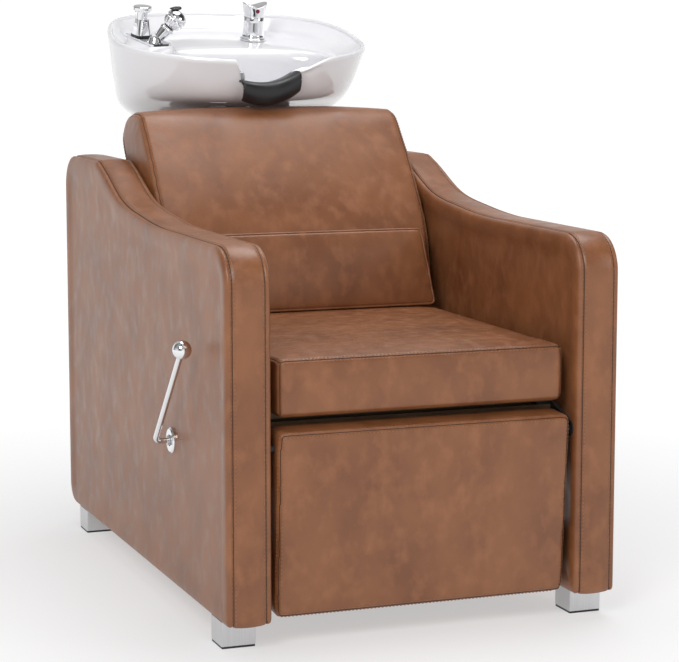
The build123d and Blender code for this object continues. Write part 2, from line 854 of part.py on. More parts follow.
tap_plane = deck_plane(tap_x, tap_station, deck_drop)
shank_length = 34.0
inlet_radius = 5.0
inlet_length = 40.0
inlet_end = 695.0
inlet_spacing = 14.0
tail_radius = 4.5
tail_top = tap_plane.from_local_coords((0, 0, 4 - shank_length))
with BuildPart() as tap_base:
    with BuildSketch(tap_plane):
        Circle(tap_base_radius)
    extrude(amount=3)
    with BuildSketch(tap_plane.offset(3)):
        Circle(tap_base_radius - 1.5)
    extrude(amount=3)
    with BuildSketch(tap_plane.offset(-shank_length)):
        Circle(15.9)
    extrude(amount=shank_length)
    with BuildSketch(level(inlet_end + inlet_length)):
        with Locations((tap_x, tail_top.Y)):
            with GridLocations(inlet_spacing, 0, 2, 1):
                Circle(tail_radius)
    extrude(amount=tail_top.Z - inlet_end - inlet_length)
    with BuildSketch(level(inlet_end)):
        with Locations((tap_x, tail_top.Y)):
            with GridLocations(inlet_spacing, 0, 2, 1):
                Circle(inlet_radius)
    extrude(amount=inlet_length)
save(tap_base.part, "tap_base")

with BuildPart() as tap_nut:
    with BuildSketch(tap_plane.offset(-wall - 9)):
        RegularPolygon(25, 6)
        Circle(15.9, mode=Mode.SUBTRACT)
    extrude(amount=9)
save(tap_nut.part, "tap_nut")

stem_radius = 8.0
with BuildPart() as tap_body:
    with BuildSketch(tap_plane.offset(6)):
        Circle(tap_body_radius + 0.5)
    with BuildSketch(tap_plane.offset(tap_neck_height)):
        Circle(tap_body_radius - 0.5)
    loft()
    with BuildSketch(tap_plane.offset(tap_neck_height - 14)):
        Circle(stem_radius + running_clearance)
    extrude(amount=14, mode=Mode.SUBTRACT)
save(tap_body.part, "tap_body")

with BuildPart() as tap_stem:
    with BuildSketch(tap_plane.offset(tap_neck_height - 14)):
        Circle(stem_radius)
    extrude(amount=14 + 9)
save(tap_stem.part, "tap_stem")

handle_base = tap_neck_height + tap_lift_gap
saddle_radius = 26.0
with BuildPart() as tap_handle:
    with BuildSketch(tap_plane.offset(handle_base)):
        Circle(tap_body_radius - 0.2)
    with BuildSketch(tap_plane.offset(handle_base + 10)):
        Circle(tap_body_radius)
    with BuildSketch(tap_plane.offset(tap_top_height)):
        Circle(tap_handle_radius + 1)
    loft()
    saddle = Cylinder(saddle_radius, 60, mode=Mode.PRIVATE)
    saddle_place = tap_plane * Pos(0, 0, tap_top_height + saddle_radius - 10) * Rot(90, 0, 0)
    add(saddle_place * saddle, mode=Mode.SUBTRACT)
    with BuildSketch(tap_plane.offset(handle_base - 1)):
        Circle(14)
    extrude(amount=13, mode=Mode.SUBTRACT)
save(tap_handle.part, "tap_handle")

dot_plane = Plane(
    origin=tap_plane.from_local_coords((0, -tap_body_radius - 2.2, tap_neck_height + 14)),
    x_dir=rim_x,
    z_dir=(0, -cos(tilt), -sin(tilt)),
)
with BuildPart() as tap_indicator:
    with BuildSketch(dot_plane):
        Circle(4)
    extrude(amount=-6)
    add(tap_handle.part, mode=Mode.SUBTRACT)
save(tap_indicator.part, "tap_indicator")


# ---------------------------------------------------------------- accessory plate and sprayer
def plate_point(offset):
    """Sketch coordinates on the rim plane of a point along the plate's long axis."""
    turn = radians(plate_turn)
    return plate_x - offset * sin(turn), plate_station + offset * cos(turn)


plate_base = deck_plane(plate_x, plate_station, ledge_drop)
plate_top = ledge_drop - plate_thickness
with BuildPart() as accessory_plate:
    with BuildSketch(plate_base):
        with Locations(Location((0, 0), plate_turn)):
            RectangleRounded(plate_width, plate_length, plate_corner)
    extrude(amount=plate_thickness)
save(accessory_plate.part, "accessory_plate")

breaker_plane = deck_plane(*plate_point(breaker_offset), plate_top)
gasket_height = 3.5
breaker_shoulder = 32.0
breaker_neck = 47.0
with BuildPart() as breaker_gasket:
    with BuildSketch(breaker_plane):
        with Locations(Location((0, 0), plate_turn)):
            RectangleRounded(33, 33, 7)
    extrude(amount=gasket_height)
save(breaker_gasket.part, "breaker_gasket")

with BuildPart() as breaker_body:
    with BuildSketch(breaker_plane.offset(gasket_height)):
        with Locations(Location((0, 0), plate_turn)):
            RectangleRounded(32, 32, 9)
    with BuildSketch(breaker_plane.offset(breaker_shoulder)):
        with Locations(Location((0, 0), plate_turn)):
            RectangleRounded(25, 25, 9)
    loft()
    with BuildSketch(breaker_plane.offset(breaker_shoulder)):
        Circle(10.5)
    extrude(amount=breaker_neck - breaker_shoulder)
save(breaker_body.part, "breaker_body")

with BuildPart() as breaker_cap:
    with BuildSketch(breaker_plane.offset(breaker_neck)):
        Circle(15)
    extrude(amount=2)
    with BuildSketch(breaker_plane.offset(breaker_neck + 2)):
        Circle(18)
    extrude(amount=9)
    fillet(breaker_cap.edges().group_by(SortBy.LENGTH)[-1], 2.5)
save(breaker_cap.part, "breaker_cap")

sprayer_turn = radians(sprayer_lean)
sprayer_dir = rim_x * sin(sprayer_turn) + rim_z * cos(sprayer_turn)
sprayer_foot = rim_plane.from_local_coords((*plate_point(sprayer_offset), -plate_top))
sprayer_plane = Plane(origin=sprayer_foot + sprayer_dir * 10, x_dir=rim_plane.y_dir, z_dir=sprayer_dir)
socket_mouth = 24.0
ball_centre = socket_mouth + 19.3
stem_depth = 16.0
with BuildPart() as sprayer_holder:
    with BuildSketch(deck_plane(*plate_point(sprayer_offset), plate_top)):
        Circle(14)
    with BuildSketch(deck_plane(*plate_point(sprayer_offset), plate_top - 9)):
        Circle(10)
    loft()
    with BuildSketch(sprayer_plane):
        Circle(9.5)
    with BuildSketch(sprayer_plane.offset(socket_mouth)):
        Circle(13)
    loft()
    with BuildSketch(sprayer_plane.offset(socket_mouth - stem_depth - 1)):
        Circle(8 + running_clearance)
    extrude(amount=stem_depth + 3, mode=Mode.SUBTRACT)
save(sprayer_holder.part, "sprayer_holder")

trigger_plane = Plane(
    origin=sprayer_plane.from_local_coords((0, 0, ball_centre)),
    x_dir=rim_plane.y_dir,
    z_dir=rim_z,
)
with BuildPart() as spray_head:
    with Locations(sprayer_plane.offset(ball_centre).location):
        Sphere(spray_ball_radius)
    with BuildSketch(sprayer_plane.offset(socket_mouth - stem_depth)):
        Circle(8)
    extrude(amount=stem_depth + 8)
    with BuildSketch(trigger_plane.offset(spray_ball_radius - 7)):
        Circle(6 + running_clearance)
    extrude(amount=20, mode=Mode.SUBTRACT)
save(spray_head.part, "spray_head")

trigger_travel = 2.5
with BuildPart() as spray_trigger:
    with BuildSketch(trigger_plane.offset(spray_ball_radius - 7 + trigger_travel)):
        Circle(6)
    extrude(amount=9)
    fillet(spray_trigger.faces().sort_by(Axis.Z)[-1].edges(), 1.5)
save(spray_trigger.part, "spray_trigger")
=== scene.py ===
import json
import math

import bmesh
import bpy
import numpy as np
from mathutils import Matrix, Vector
from mathutils.bvhtree import BVHTree


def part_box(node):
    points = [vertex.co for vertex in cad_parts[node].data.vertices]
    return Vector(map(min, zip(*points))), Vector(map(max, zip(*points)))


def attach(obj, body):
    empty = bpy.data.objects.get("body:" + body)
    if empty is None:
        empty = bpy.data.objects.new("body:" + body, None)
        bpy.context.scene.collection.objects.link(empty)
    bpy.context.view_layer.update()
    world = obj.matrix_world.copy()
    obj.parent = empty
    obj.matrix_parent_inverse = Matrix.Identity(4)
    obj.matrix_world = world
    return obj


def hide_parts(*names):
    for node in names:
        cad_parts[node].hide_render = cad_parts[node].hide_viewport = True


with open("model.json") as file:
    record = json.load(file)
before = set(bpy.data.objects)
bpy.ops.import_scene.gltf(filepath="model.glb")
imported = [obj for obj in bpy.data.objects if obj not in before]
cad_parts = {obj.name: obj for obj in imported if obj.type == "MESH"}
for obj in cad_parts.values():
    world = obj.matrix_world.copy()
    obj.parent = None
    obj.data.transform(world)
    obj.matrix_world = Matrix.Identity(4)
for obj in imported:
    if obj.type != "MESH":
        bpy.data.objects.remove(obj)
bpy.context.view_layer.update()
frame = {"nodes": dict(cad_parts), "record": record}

# Shampoo backwash unit, in metres: +Z up, +Y towards the basin, +X towards the sitter's left hand.
MM = 0.001
arm_low, arm_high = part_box("left_arm_cover")
ARM_FRONT = arm_low.y


def at(depth):
    """Y of a point this many millimetres behind the front of the arms."""
    return ARM_FRONT + depth * MM


def add_object(name, data):
    thing = bpy.data.objects.new(name, data)
    bpy.context.scene.collection.objects.link(thing)
    return thing


def dial(node, settings):
    """Sets the unlinked inputs of a shader node."""
    for socket, value in settings.items():
        node.inputs[socket].default_value = value


# ------------------------------------------------------------------ camera, light and floor
LENS = 117.15
CAMERA_PLACE = (-1.3152, -3.5970, 0.9517)
CAMERA_TURN = (math.radians(82.1), 0, math.radians(-20.6))
STUDIO_STRENGTH = 1.06
FLOOR_RADIUS = 14.0
FADE_START, FADE_END, FADE_LEAST = 0.55, 1.9, 0.46


def add_camera():
    data = bpy.data.cameras.new("camera")
    data.sensor_width = 36.0
    data.lens = LENS
    camera = add_object("camera", data)
    camera.location = CAMERA_PLACE
    camera.rotation_euler = CAMERA_TURN
    bpy.context.scene.camera = camera


def add_area_light(name, place, target, size, power, colour):
    data = bpy.data.lights.new(name, "AREA")
    data.shape = "DISK"
    data.size = size
    data.energy = power
    data.color = colour
    light = add_object(name, data)
    light.location = place
    light.rotation_euler = (Vector(target) - Vector(place)).to_track_quat("-Z", "Y").to_euler()


def add_world():
    """A white studio: bright behind the object, with darker gaps between the panels round it that
    give the plated parts something to mirror."""
    world = bpy.data.worlds.new("studio")
    bpy.context.scene.world = world
    world.use_nodes = True
    nodes, links = world.node_tree.nodes, world.node_tree.links
    background = nodes["Background"]
    place = nodes.new("ShaderNodeTexCoord")
    split = nodes.new("ShaderNodeSeparateXYZ")
    links.new(place.outputs["Generated"], split.inputs[0])

    def levels(value, low, stops):
        spread = nodes.new("ShaderNodeMapRange")
        spread.inputs["From Min"].default_value = low
        ramp = nodes.new("ShaderNodeValToRGB")
        links.new(value, spread.inputs["Value"])
        links.new(spread.outputs["Result"], ramp.inputs["Fac"])
        while len(ramp.color_ramp.elements) < len(stops):
            ramp.color_ramp.elements.new(0.5)
        for element, (position, level) in zip(ramp.color_ramp.elements, stops):
            element.position = position
            element.color = (level, level, level, 1)
        return ramp.outputs["Color"]

    height_stops = ((0.0, 0.06), (0.40, 0.25), (0.47, 0.95), (0.58, 1.0), (0.70, 0.42), (1.0, 0.60))
    height = levels(split.outputs["Z"], -1, height_stops)
    turn = nodes.new("ShaderNodeMath")
    turn.operation = "ARCTAN2"
    links.new(split.outputs["Y"], turn.inputs[0])
    links.new(split.outputs["X"], turn.inputs[1])
    share = nodes.new("ShaderNodeMath")
    share.operation = "DIVIDE"
    share.inputs[1].default_value = math.pi
    links.new(turn.outputs[0], share.inputs[0])
    around_stops = ((0.0, 0.75), (0.06, 0.75), (0.11, 0.12), (0.17, 0.12), (0.22, 0.85), (0.33, 0.85))
    around_stops += ((0.37, 0.10), (0.50, 0.10), (0.58, 1.0), (0.82, 1.0), (0.90, 0.22), (1.0, 0.75))
    around = levels(share.outputs[0], -1, around_stops)
    mix = nodes.new("ShaderNodeMix")
    mix.data_type = "RGBA"
    mix.blend_type = "MULTIPLY"
    mix.inputs["Factor"].default_value = 1.0
    links.new(height, mix.inputs["A"])
    links.new(around, mix.inputs["B"])
    links.new(mix.outputs["Result"], background.inputs["Color"])
    background.inputs["Strength"].default_value = STUDIO_STRENGTH


def add_floor():
    """A pale disc that fades to white far from the object, so that it has no visible edge."""
    mesh = bpy.data.meshes.new("studio_floor")
    turns = np.linspace(0, math.tau, 96, False)
    points = [(FLOOR_RADIUS * math.cos(a), FLOOR_RADIUS * math.sin(a), 0) for a in turns]
    mesh.from_pydata(points, [], [list(range(len(points)))])
    floor = add_object("studio_floor", mesh)
    material, nodes, links, shader = new_material("floor_paint", (0.86, 0.86, 0.87), 0.6)
    place = nodes.new("ShaderNodeTexCoord")
    reach = nodes.new("ShaderNodeVectorMath")
    reach.operation = "LENGTH"
    fade = nodes.new("ShaderNodeMapRange")
    dial(fade, {"From Min": FADE_START, "From Max": FADE_END, "To Min": FADE_LEAST})
    glow = nodes.new("ShaderNodeEmission")
    glow.inputs["Strength"].default_value = STUDIO_STRENGTH
    mix = nodes.new("ShaderNodeMixShader")
    links.new(place.outputs["Object"], reach.inputs[0])
    links.new(reach.outputs["Value"], fade.inputs["Value"])
    links.new(fade.outputs["Result"], mix.inputs["Fac"])
    links.new(shader.outputs[0], mix.inputs[1])
    links.new(glow.outputs[0], mix.inputs[2])
    links.new(mix.outputs[0], nodes["Material Output"].inputs["Surface"])
    mesh.materials.append(material)


# ------------------------------------------------------------------ materials
def new_material(name, colour, roughness, metallic=0.0):
    material = bpy.data.materials.new(name)
    material.use_nodes = True
    nodes, links = material.node_tree.nodes, material.node_tree.links
    shader = nodes["Principled BSDF"]
    dial(shader, {"Base Color": (*colour, 1), "Roughness": roughness, "Metallic": metallic})
    return material, nodes, links, shader


def noise(nodes, links, scale, detail=3.0, stretch=(1, 1, 1)):
    """A noise texture in object coordinates, stretched along an axis where the finish is brushed."""
    place = nodes.new("ShaderNodeTexCoord")
    mapping = nodes.new("ShaderNodeMapping")
    dial(mapping, {"Scale": stretch})
    texture = nodes.new("ShaderNodeTexNoise")
    dial(texture, {"Scale": scale, "Detail": detail})
    links.new(place.outputs["Object"], mapping.inputs["Vector"])
    links.new(mapping.outputs["Vector"], texture.inputs["Vector"])
    return texture.outputs["Fac"]


def ramp_between(nodes, links, value, low, high, dark, light):
    """Turns a value into a colour that runs from dark to light between low and high."""
    ramp = nodes.new("ShaderNodeValToRGB")
    ramp.color_ramp.elements[0].position = low
    ramp.color_ramp.elements[1].position = high
    ramp.color_ramp.elements[0].color = (*dark, 1)
    ramp.color_ramp.elements[1].color = (*light, 1)
    links.new(value, ramp.inputs["Fac"])
    return ramp.outputs["Color"]


def spread_value(nodes, links, value, low, high):
    """Maps a 0 to 1 texture onto a range, for a roughness."""
    spread = nodes.new("ShaderNodeMapRange")
    dial(spread, {"From Min": 0.3, "From Max": 0.7, "To Min": low, "To Max": high})
    links.new(value, spread.inputs["Value"])
    return spread.outputs["Result"]


def add_bump(nodes, links, shader, height, distance, strength, under=None):
    bump = nodes.new("ShaderNodeBump")
    dial(bump, {"Distance": distance, "Strength": strength})
    links.new(height, bump.inputs["Height"])
    if under is not None:
        links.new(under, bump.inputs["Normal"])
    links.new(bump.outputs["Normal"], shader.inputs["Normal"])
    return bump.outputs["Normal"]


def leather(name, dark, light, roughness):
    """Pull-up leather: cloudy brown, paler where it is rubbed, with a fine pebbled grain."""
    material, nodes, links, shader = new_material(name, light, roughness)
    clouds = noise(nodes, links, 12.0, 6.0, (1, 1, 0.75))
    body = ramp_between(nodes, links, clouds, 0.34, 0.68, dark, light)
    rubs = noise(nodes, links, 44.0, 5.0, (1, 1, 0.7))
    pale = tuple(min(1.0, c * 1.26 + 0.010) for c in light)
    rub_share = ramp_between(nodes, links, rubs, 0.48, 0.80, (0, 0, 0), (0.7, 0.7, 0.7))
    mix = nodes.new("ShaderNodeMix")
    mix.data_type = "RGBA"
    links.new(rub_share, mix.inputs["Factor"])
    links.new(body, mix.inputs["A"])
    mix.inputs["B"].default_value = (*pale, 1)
    links.new(mix.outputs["Result"], shader.inputs["Base Color"])
    gloss = spread_value(nodes, links, rubs, roughness - 0.07, roughness + 0.08)
    links.new(gloss, shader.inputs["Roughness"])
    place = nodes.new("ShaderNodeTexCoord")
    grain = nodes.new("ShaderNodeTexVoronoi")
    grain.feature = "SMOOTH_F1"
    dial(grain, {"Scale": 620.0})
    links.new(place.outputs["Object"], grain.inputs["Vector"])
    soft = add_bump(nodes, links, shader, noise(nodes, links, 9.0, 2.0), 0.004, 0.30)
    add_bump(nodes, links, shader, grain.outputs["Distance"], 0.0004, 0.35, soft)
    shader.inputs["Specular IOR Level"].default_value = 0.55
    return material


def metal(name, colour, low, high, stretch=(1, 1, 1), scale=40.0):
    """Plated or brushed metal, with a roughness that wanders and a faint surface ripple."""
    material, nodes, links, shader = new_material(name, colour, low, 1.0)
    wander = noise(nodes, links, scale, 4.0, stretch)
    links.new(spread_value(nodes, links, wander, low, high), shader.inputs["Roughness"])
    tint = ramp_between(nodes, links, wander, 0.3, 0.75, tuple(c * 0.9 for c in colour), colour)
    links.new(tint, shader.inputs["Base Color"])
    add_bump(nodes, links, shader, wander, 0.0001, 0.08)
    return material


def mottled(name, dark, light, roughness, scale, bump):
    """A moulded, painted, glazed or sawn finish whose colour and gloss vary a little."""
    material, nodes, links, shader = new_material(name, light, roughness)
    patches = noise(nodes, links, scale, 5.0)
    links.new(ramp_between(nodes, links, patches, 0.3, 0.7, dark, light), shader.inputs["Base Color"])
    gloss = spread_value(nodes, links, patches, roughness * 0.8, roughness * 1.25)
    links.new(gloss, shader.inputs["Roughness"])
    add_bump(nodes, links, shader, noise(nodes, links, scale * 12, 3.0), bump, 0.4)
    return material


def make_materials():
    made = {
        "tan_leather": leather("tan_leather", (0.188, 0.066, 0.024), (0.262, 0.100, 0.037), 0.38),
        "rear_vinyl": leather("rear_vinyl", (0.172, 0.061, 0.022), (0.235, 0.090, 0.034), 0.44),
        "timber": mottled("timber", (0.20, 0.125, 0.065), (0.31, 0.21, 0.12), 0.6, 14, 0.0005),
        "brushed_leg": metal("brushed_leg", (0.66, 0.66, 0.67), 0.31, 0.40, (1, 1, 0.02), 700),
        "zinc_steel": metal("zinc_steel", (0.62, 0.63, 0.65), 0.31, 0.5),
        "black_steel": mottled("black_steel", (0.018, 0.018, 0.019), (0.035, 0.035, 0.036), 0.4, 60, 0.0002),
        "bush_plastic": mottled("bush_plastic", (0.70, 0.70, 0.66), (0.80, 0.80, 0.77), 0.5, 40, 0.0002),
        "chrome": metal("chrome", (0.86, 0.865, 0.88), 0.03, 0.09, scale=18),
        "white_glaze": mottled("white_glaze", (0.76, 0.757, 0.785), (0.81, 0.807, 0.83), 0.10, 3, 0.00004),
        "black_rubber": mottled(
            "black_rubber", (0.006, 0.006, 0.007), (0.012, 0.012, 0.014), 0.39, 30, 0.0004
        ),
        "marker_red": mottled("marker_red", (0.14, 0.006, 0.02), (0.24, 0.008, 0.03), 0.2, 60, 0.0001),
        "black_plastic": mottled(
            "black_plastic", (0.012, 0.012, 0.013), (0.022, 0.022, 0.024), 0.22, 50, 0.0001
        ),
        "thread": mottled("thread", (0.24, 0.115, 0.055), (0.36, 0.19, 0.10), 0.6, 300, 0.0002),
        "seam_shadow": mottled("seam_shadow", (0.045, 0.016, 0.008), (0.075, 0.028, 0.013), 0.7, 200, 0.0002),
    }
    glaze = made["white_glaze"].node_tree.nodes["Principled BSDF"]
    dial(glaze, {"Coat Weight": 0.6, "Coat Roughness": 0.04})
    return made


# ------------------------------------------------------------------ mesh helpers
def put(name, mesh, slot, body, finish=None):
    """Links a finished mesh as a piece that rides on a body and takes a slot's finish, or another."""
    for face in mesh.polygons:
        face.use_smooth = True
    mesh.materials.clear()
    mesh.materials.append(MATERIALS[finish or slot])
    piece = add_object(name, mesh)
    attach(piece, body)
    return piece


def mesh_from(name, points, faces):
    mesh = bpy.data.meshes.new(name)
    mesh.from_pydata([tuple(p) for p in points], [], faces)
    work = bmesh.new()
    work.from_mesh(mesh)
    bmesh.ops.remove_doubles(work, verts=work.verts, dist=0.02 * MM)
    bmesh.ops.recalc_face_normals(work, faces=work.faces)
    work.to_mesh(mesh)
    work.free()
    return mesh


def ring_faces(rings, around, closed=True):
    """Quads between successive rings of points, as a list of index lists."""
    faces = []
    last = around if closed else around - 1
    for ring in range(rings - 1):
        for k in range(last):
            a, b = ring * around + k, ring * around + (k + 1) % around
            faces.append([a, b, b + around, a + around])
    return faces


def end_faces(rings, around, joined):
    """Flat ends for a run of rings or, where they are joined, quads from the last to the first."""
    last = (rings - 1) * around
    if joined:
        return [[last + k, last + (k + 1) % around, (k + 1) % around, k] for k in range(around)]
    return [list(range(around))[::-1], [last + k for k in range(around)]]


def resample(points, step, closed=True):
    """Points evenly spaced along a polyline."""
    line = np.array(points, float)
    if closed:
        line = np.vstack([line, line[:1]])
    run = np.concatenate([[0], np.cumsum(np.linalg.norm(np.diff(line, axis=0), axis=1))])
    count = max(8, int(round(run[-1] / step)))
    stations = np.linspace(0, run[-1], count, endpoint=False) if closed else np.linspace(0, run[-1], count)
    return np.column_stack([np.interp(stations, run, line[:, k]) for k in range(line.shape[1])])


def rounded(points, cuts=3):
    """Softens the corners of a closed outline by cutting each one a few times."""
    line = np.array(points, float)
    for _ in range(cuts):
        following = np.roll(line, -1, axis=0)
        pair = [line * 0.75 + following * 0.25, line * 0.25 + following * 0.75]
        line = np.stack(pair, axis=1).reshape(-1, 2)
    return line


def closed_loop(line):
    """The line with its first point repeated at the end."""
    return np.vstack([line, line[:1]])


def corner_arc(centre, radius, start, end, steps=12):
    angles = np.radians(np.linspace(start, end, steps))
    return [(centre[0] + radius * math.cos(a), centre[1] + radius * math.sin(a)) for a in angles]


def rounded_rectangle(half_width, low, high, radius):
    outline = corner_arc((half_width - radius, high - radius), radius, 90, 0)
    outline += corner_arc((half_width - radius, low + radius), radius, 0, -90)
    outline += corner_arc((radius - half_width, low + radius), radius, -90, -180)
    outline += corner_arc((radius - half_width, high - radius), radius, 180, 90)
    return outline


def flow(points):
    """A smooth run through a few points, level at both ends."""
    line = np.array(points, float)
    slopes = np.gradient(line[:, 1], line[:, 0])
    slopes[0] = slopes[-1] = 0
    out = []
    for k in range(len(line) - 1):
        span = line[k + 1, 0] - line[k, 0]
        for t in np.linspace(0, 1, 10, endpoint=False):
            a, b = 2 * t**3 - 3 * t**2 + 1, t**3 - 2 * t**2 + t
            c, d = 3 * t**2 - 2 * t**3, t**3 - t**2
            height = a * line[k, 1] + b * span * slopes[k] + c * line[k + 1, 1] + d * span * slopes[k + 1]
            out.append((line[k, 0] + t * span, height))
    out.append(tuple(line[-1]))
    return out


def outward(outline):
    """Unit normals that point out of a closed 2-D outline."""
    along = np.roll(outline, -1, axis=0) - np.roll(outline, 1, axis=0)
    along /= np.linalg.norm(along, axis=1)[:, None]
    area = np.sum(outline[:, 0] * np.roll(outline[:, 1], -1) - np.roll(outline[:, 0], -1) * outline[:, 1])
    return np.column_stack([along[:, 1], -along[:, 0]]) * (1 if area > 0 else -1)


def wrap(name, outline, profile, place, hub=None):
    """A closed body: an outline swept through a profile of (across, inset) pairs. place maps
    (along, up, across) to the row frame. Both end faces are flat; with a hub they fan out from it."""
    normals = outward(outline)
    points = []
    for across, inset in profile:
        ring = np.clip(outline - normals * inset, outline.min(axis=0) + inset, outline.max(axis=0) - inset)
        for p in ring:
            points.append(place(p[0], p[1], across))
    around = len(outline)
    faces = ring_faces(len(profile), around)
    last = (len(profile) - 1) * around
    if hub is None:
        return mesh_from(name, points, faces + end_faces(len(profile), around, False))
    points += [place(*hub, profile[0][0]), place(*hub, profile[-1][0])]
    for k in range(around):
        following = (k + 1) % around
        faces += [[following, k, len(points) - 2], [last + k, last + following, len(points) - 1]]
    return mesh_from(name, points, faces)


def boxed_profile(half, edge, crown, panel):
    """Cross-section of a boxed cushion: rounded edges, a crowned band, and faces that swell."""
    side = [(half, panel), (half + crown * 0.6, panel * 0.6), (half, edge * 1.1)]
    side += [(half - edge * 0.25, edge * 0.45), (half - edge * 0.62, edge * 0.12)]
    band = [(half - edge, 0.0), (half * 0.55, -crown * 0.7), (0.0, -crown)]
    right = side + band
    left = [(-across, inset) for across, inset in reversed(right[:-1])]
    return right + left


def line_on(surface, points):
    """Moves points onto the nearest place of a mesh, and gives the normals there."""
    tree = BVHTree.FromPolygons([v.co for v in surface.vertices], [p.vertices for p in surface.polygons])
    placed, normals = [], []
    for p in points:
        spot, normal, _, _ = tree.find_nearest(Vector(p))
        placed.append(np.array(spot))
        normals.append(np.array(normal))
    return np.array(placed), np.array(normals)


def distances(points, lines):
    """Distance from each point to the nearest of some polylines."""
    best = np.full(len(points), 1e9)
    for line in lines:
        for a, b in zip(line[:-1], line[1:]):
            span = b - a
            t = np.clip(((points - a) @ span) / max(span @ span, 1e-12), 0, 1)
            best = np.minimum(best, np.linalg.norm(points - a - t[:, None] * span, axis=1))
    return best


def coordinates(mesh, what="co"):
    flat = np.zeros(len(mesh.vertices) * 3)
    mesh.vertices.foreach_get(what, flat)
    return flat.reshape(-1, 3)


def applied(mesh, kind, **settings):
    """The mesh with one modifier applied."""
    carrier = add_object("carrier", mesh)
    modifier = carrier.modifiers.new("work", kind)
    for key, value in settings.items():
        setattr(modifier, key, value)
    graph = bpy.context.evaluated_depsgraph_get()
    result = bpy.data.meshes.new_from_object(carrier.evaluated_get(graph))
    bpy.data.objects.remove(carrier)
    return result


# ------------------------------------------------------------------ upholstery
VOXEL = 6 * MM
SIMULATED_FRAMES = 20
PIN_REACH = 7 * MM
STUFFING_PRESSURE = 4.0
SEAM_WIDTH = 2.6 * MM
SEAM_DEPTH = 1.5 * MM
CREASE_RADIUS = 0.75 * MM
STITCH_PITCH = 6.2 * MM
STITCH_LENGTH = 4.4 * MM
STITCH_RADIUS = 0.55 * MM


def inflate(mesh, seams, cap, held):
    """Stuffs a cushion: cloth pressure swells it between its seams, which stay where they are, as
    do the points that held picks. No point moves further than cap."""
    start = coordinates(mesh)
    carrier = add_object("carrier", mesh)
    pins = carrier.vertex_groups.new(name="pins")
    fixed = (distances(start, seams) < PIN_REACH) | held(start)
    pins.add([int(k) for k in np.flatnonzero(fixed)], 1.0, "REPLACE")
    cloth = carrier.modifiers.new("stuffing", "CLOTH")
    cloth.settings.use_pressure = True
    cloth.settings.uniform_pressure_force = STUFFING_PRESSURE
    cloth.settings.effector_weights.gravity = 0
    cloth.settings.vertex_group_mass = "pins"
    cloth.settings.quality = 4
    cloth.collision_settings.use_collision = False
    scene = bpy.context.scene
    for number in range(1, SIMULATED_FRAMES + 1):
        scene.frame_set(number)
    graph = bpy.context.evaluated_depsgraph_get()
    result = bpy.data.meshes.new_from_object(carrier.evaluated_get(graph))
    bpy.data.objects.remove(carrier)
    scene.frame_set(1)
    move = coordinates(result) - start
    length = np.linalg.norm(move, axis=1)
    move *= (np.minimum(length, cap) / np.maximum(length, 1e-9))[:, None]
    result.vertices.foreach_set("co", (start + move).ravel())
    result.update()
    return result


def soften(mesh, rounds=2):
    """Evens out the steps that the remesh leaves."""
    return applied(mesh, "SMOOTH", factor=0.5, iterations=rounds)


def sew(mesh, seams):
    """Draws the leather in along its seams."""
    points, normals = coordinates(mesh), coordinates(mesh, "normal")
    pull = SEAM_DEPTH * np.exp(-((distances(points, seams) / SEAM_WIDTH) ** 2))
    mesh.vertices.foreach_set("co", (points - normals * pull[:, None]).ravel())
    mesh.update()


def cushion(name, base, seams, body, node, cap, held):
    """Remeshes a closed body, stuffs it, smooths it and sews its seams."""
    mesh = soften(applied(base, "REMESH", mode="VOXEL", voxel_size=VOXEL))
    mesh = inflate(mesh, seams, cap, held)
    mesh = soften(mesh, 1)
    mesh = applied(mesh, "SUBSURF", levels=1)
    sew(mesh, [line_on(mesh, s)[0] for s in seams])
    mesh.name = name
    piece = put(name, mesh, "tan_leather", body)
    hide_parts(node)
    return piece


def along_run(station, run, values):
    return np.array([np.interp(station, run, values[:, k]) for k in range(3)])


def stitch_points(line, normals):
    """One row of stitches: short pointed loops of thread lying on the leather."""
    points, faces = [], []
    pitch, length, radius = STITCH_PITCH, STITCH_LENGTH, STITCH_RADIUS
    run = np.concatenate([[0], np.cumsum(np.linalg.norm(np.diff(line, axis=0), axis=1))])
    for station in np.arange(pitch, run[-1] - pitch, pitch):
        centre, normal = along_run(station, run, line), along_run(station, run, normals)
        ahead = along_run(station + length / 2, run, line)
        normal /= max(np.linalg.norm(normal), 1e-9)
        along = ahead - centre
        along /= max(np.linalg.norm(along), 1e-9)
        across = np.cross(normal, along)
        middle = centre + normal * radius * 0.4
        base = len(points)
        points.append(middle - along * length / 2 - normal * radius)
        for shift in (-0.28, 0.28):
            for turn in range(4):
                angle = math.tau * turn / 4
                rim = across * math.cos(angle) * radius + normal * math.sin(angle) * radius
                points.append(middle + along * length * shift + rim)
        points.append(middle + along * length / 2 - normal * radius)
        for k in range(4):
            n = (k + 1) % 4
            faces.append([base, base + 1 + n, base + 1 + k])
            faces.append([base + 1 + k, base + 1 + n, base + 5 + n, base + 5 + k])
            faces.append([base + 5 + k, base + 5 + n, base + 9])
    return points, faces


def tube_points(line, normals, radius, sides=6, closed=False):
    """A thin round cord along a line."""
    count = len(line)
    points = []
    for k in range(count):
        before = line[(k - 1) % count] if closed or k else line[k]
        after = line[(k + 1) % count] if closed or k < count - 1 else line[k]
        along = (after - before) / max(np.linalg.norm(after - before), 1e-9)
        across = np.cross(normals[k], along)
        across /= max(np.linalg.norm(across), 1e-9)
        up = np.cross(along, across)
        for turn in range(sides):
            angle = math.tau * turn / sides
            points.append(line[k] + across * math.cos(angle) * radius + up * math.sin(angle) * radius)
    return points, ring_faces(count, sides) + end_faces(count, sides, closed)


def gather(parts):
    """Joins lists of points and faces into one."""
    points, faces = [], []
    for some_points, some_faces in parts:
        start = len(points)
        points += list(some_points)
        faces += [[start + k for k in face] for face in some_faces]
    return points, faces


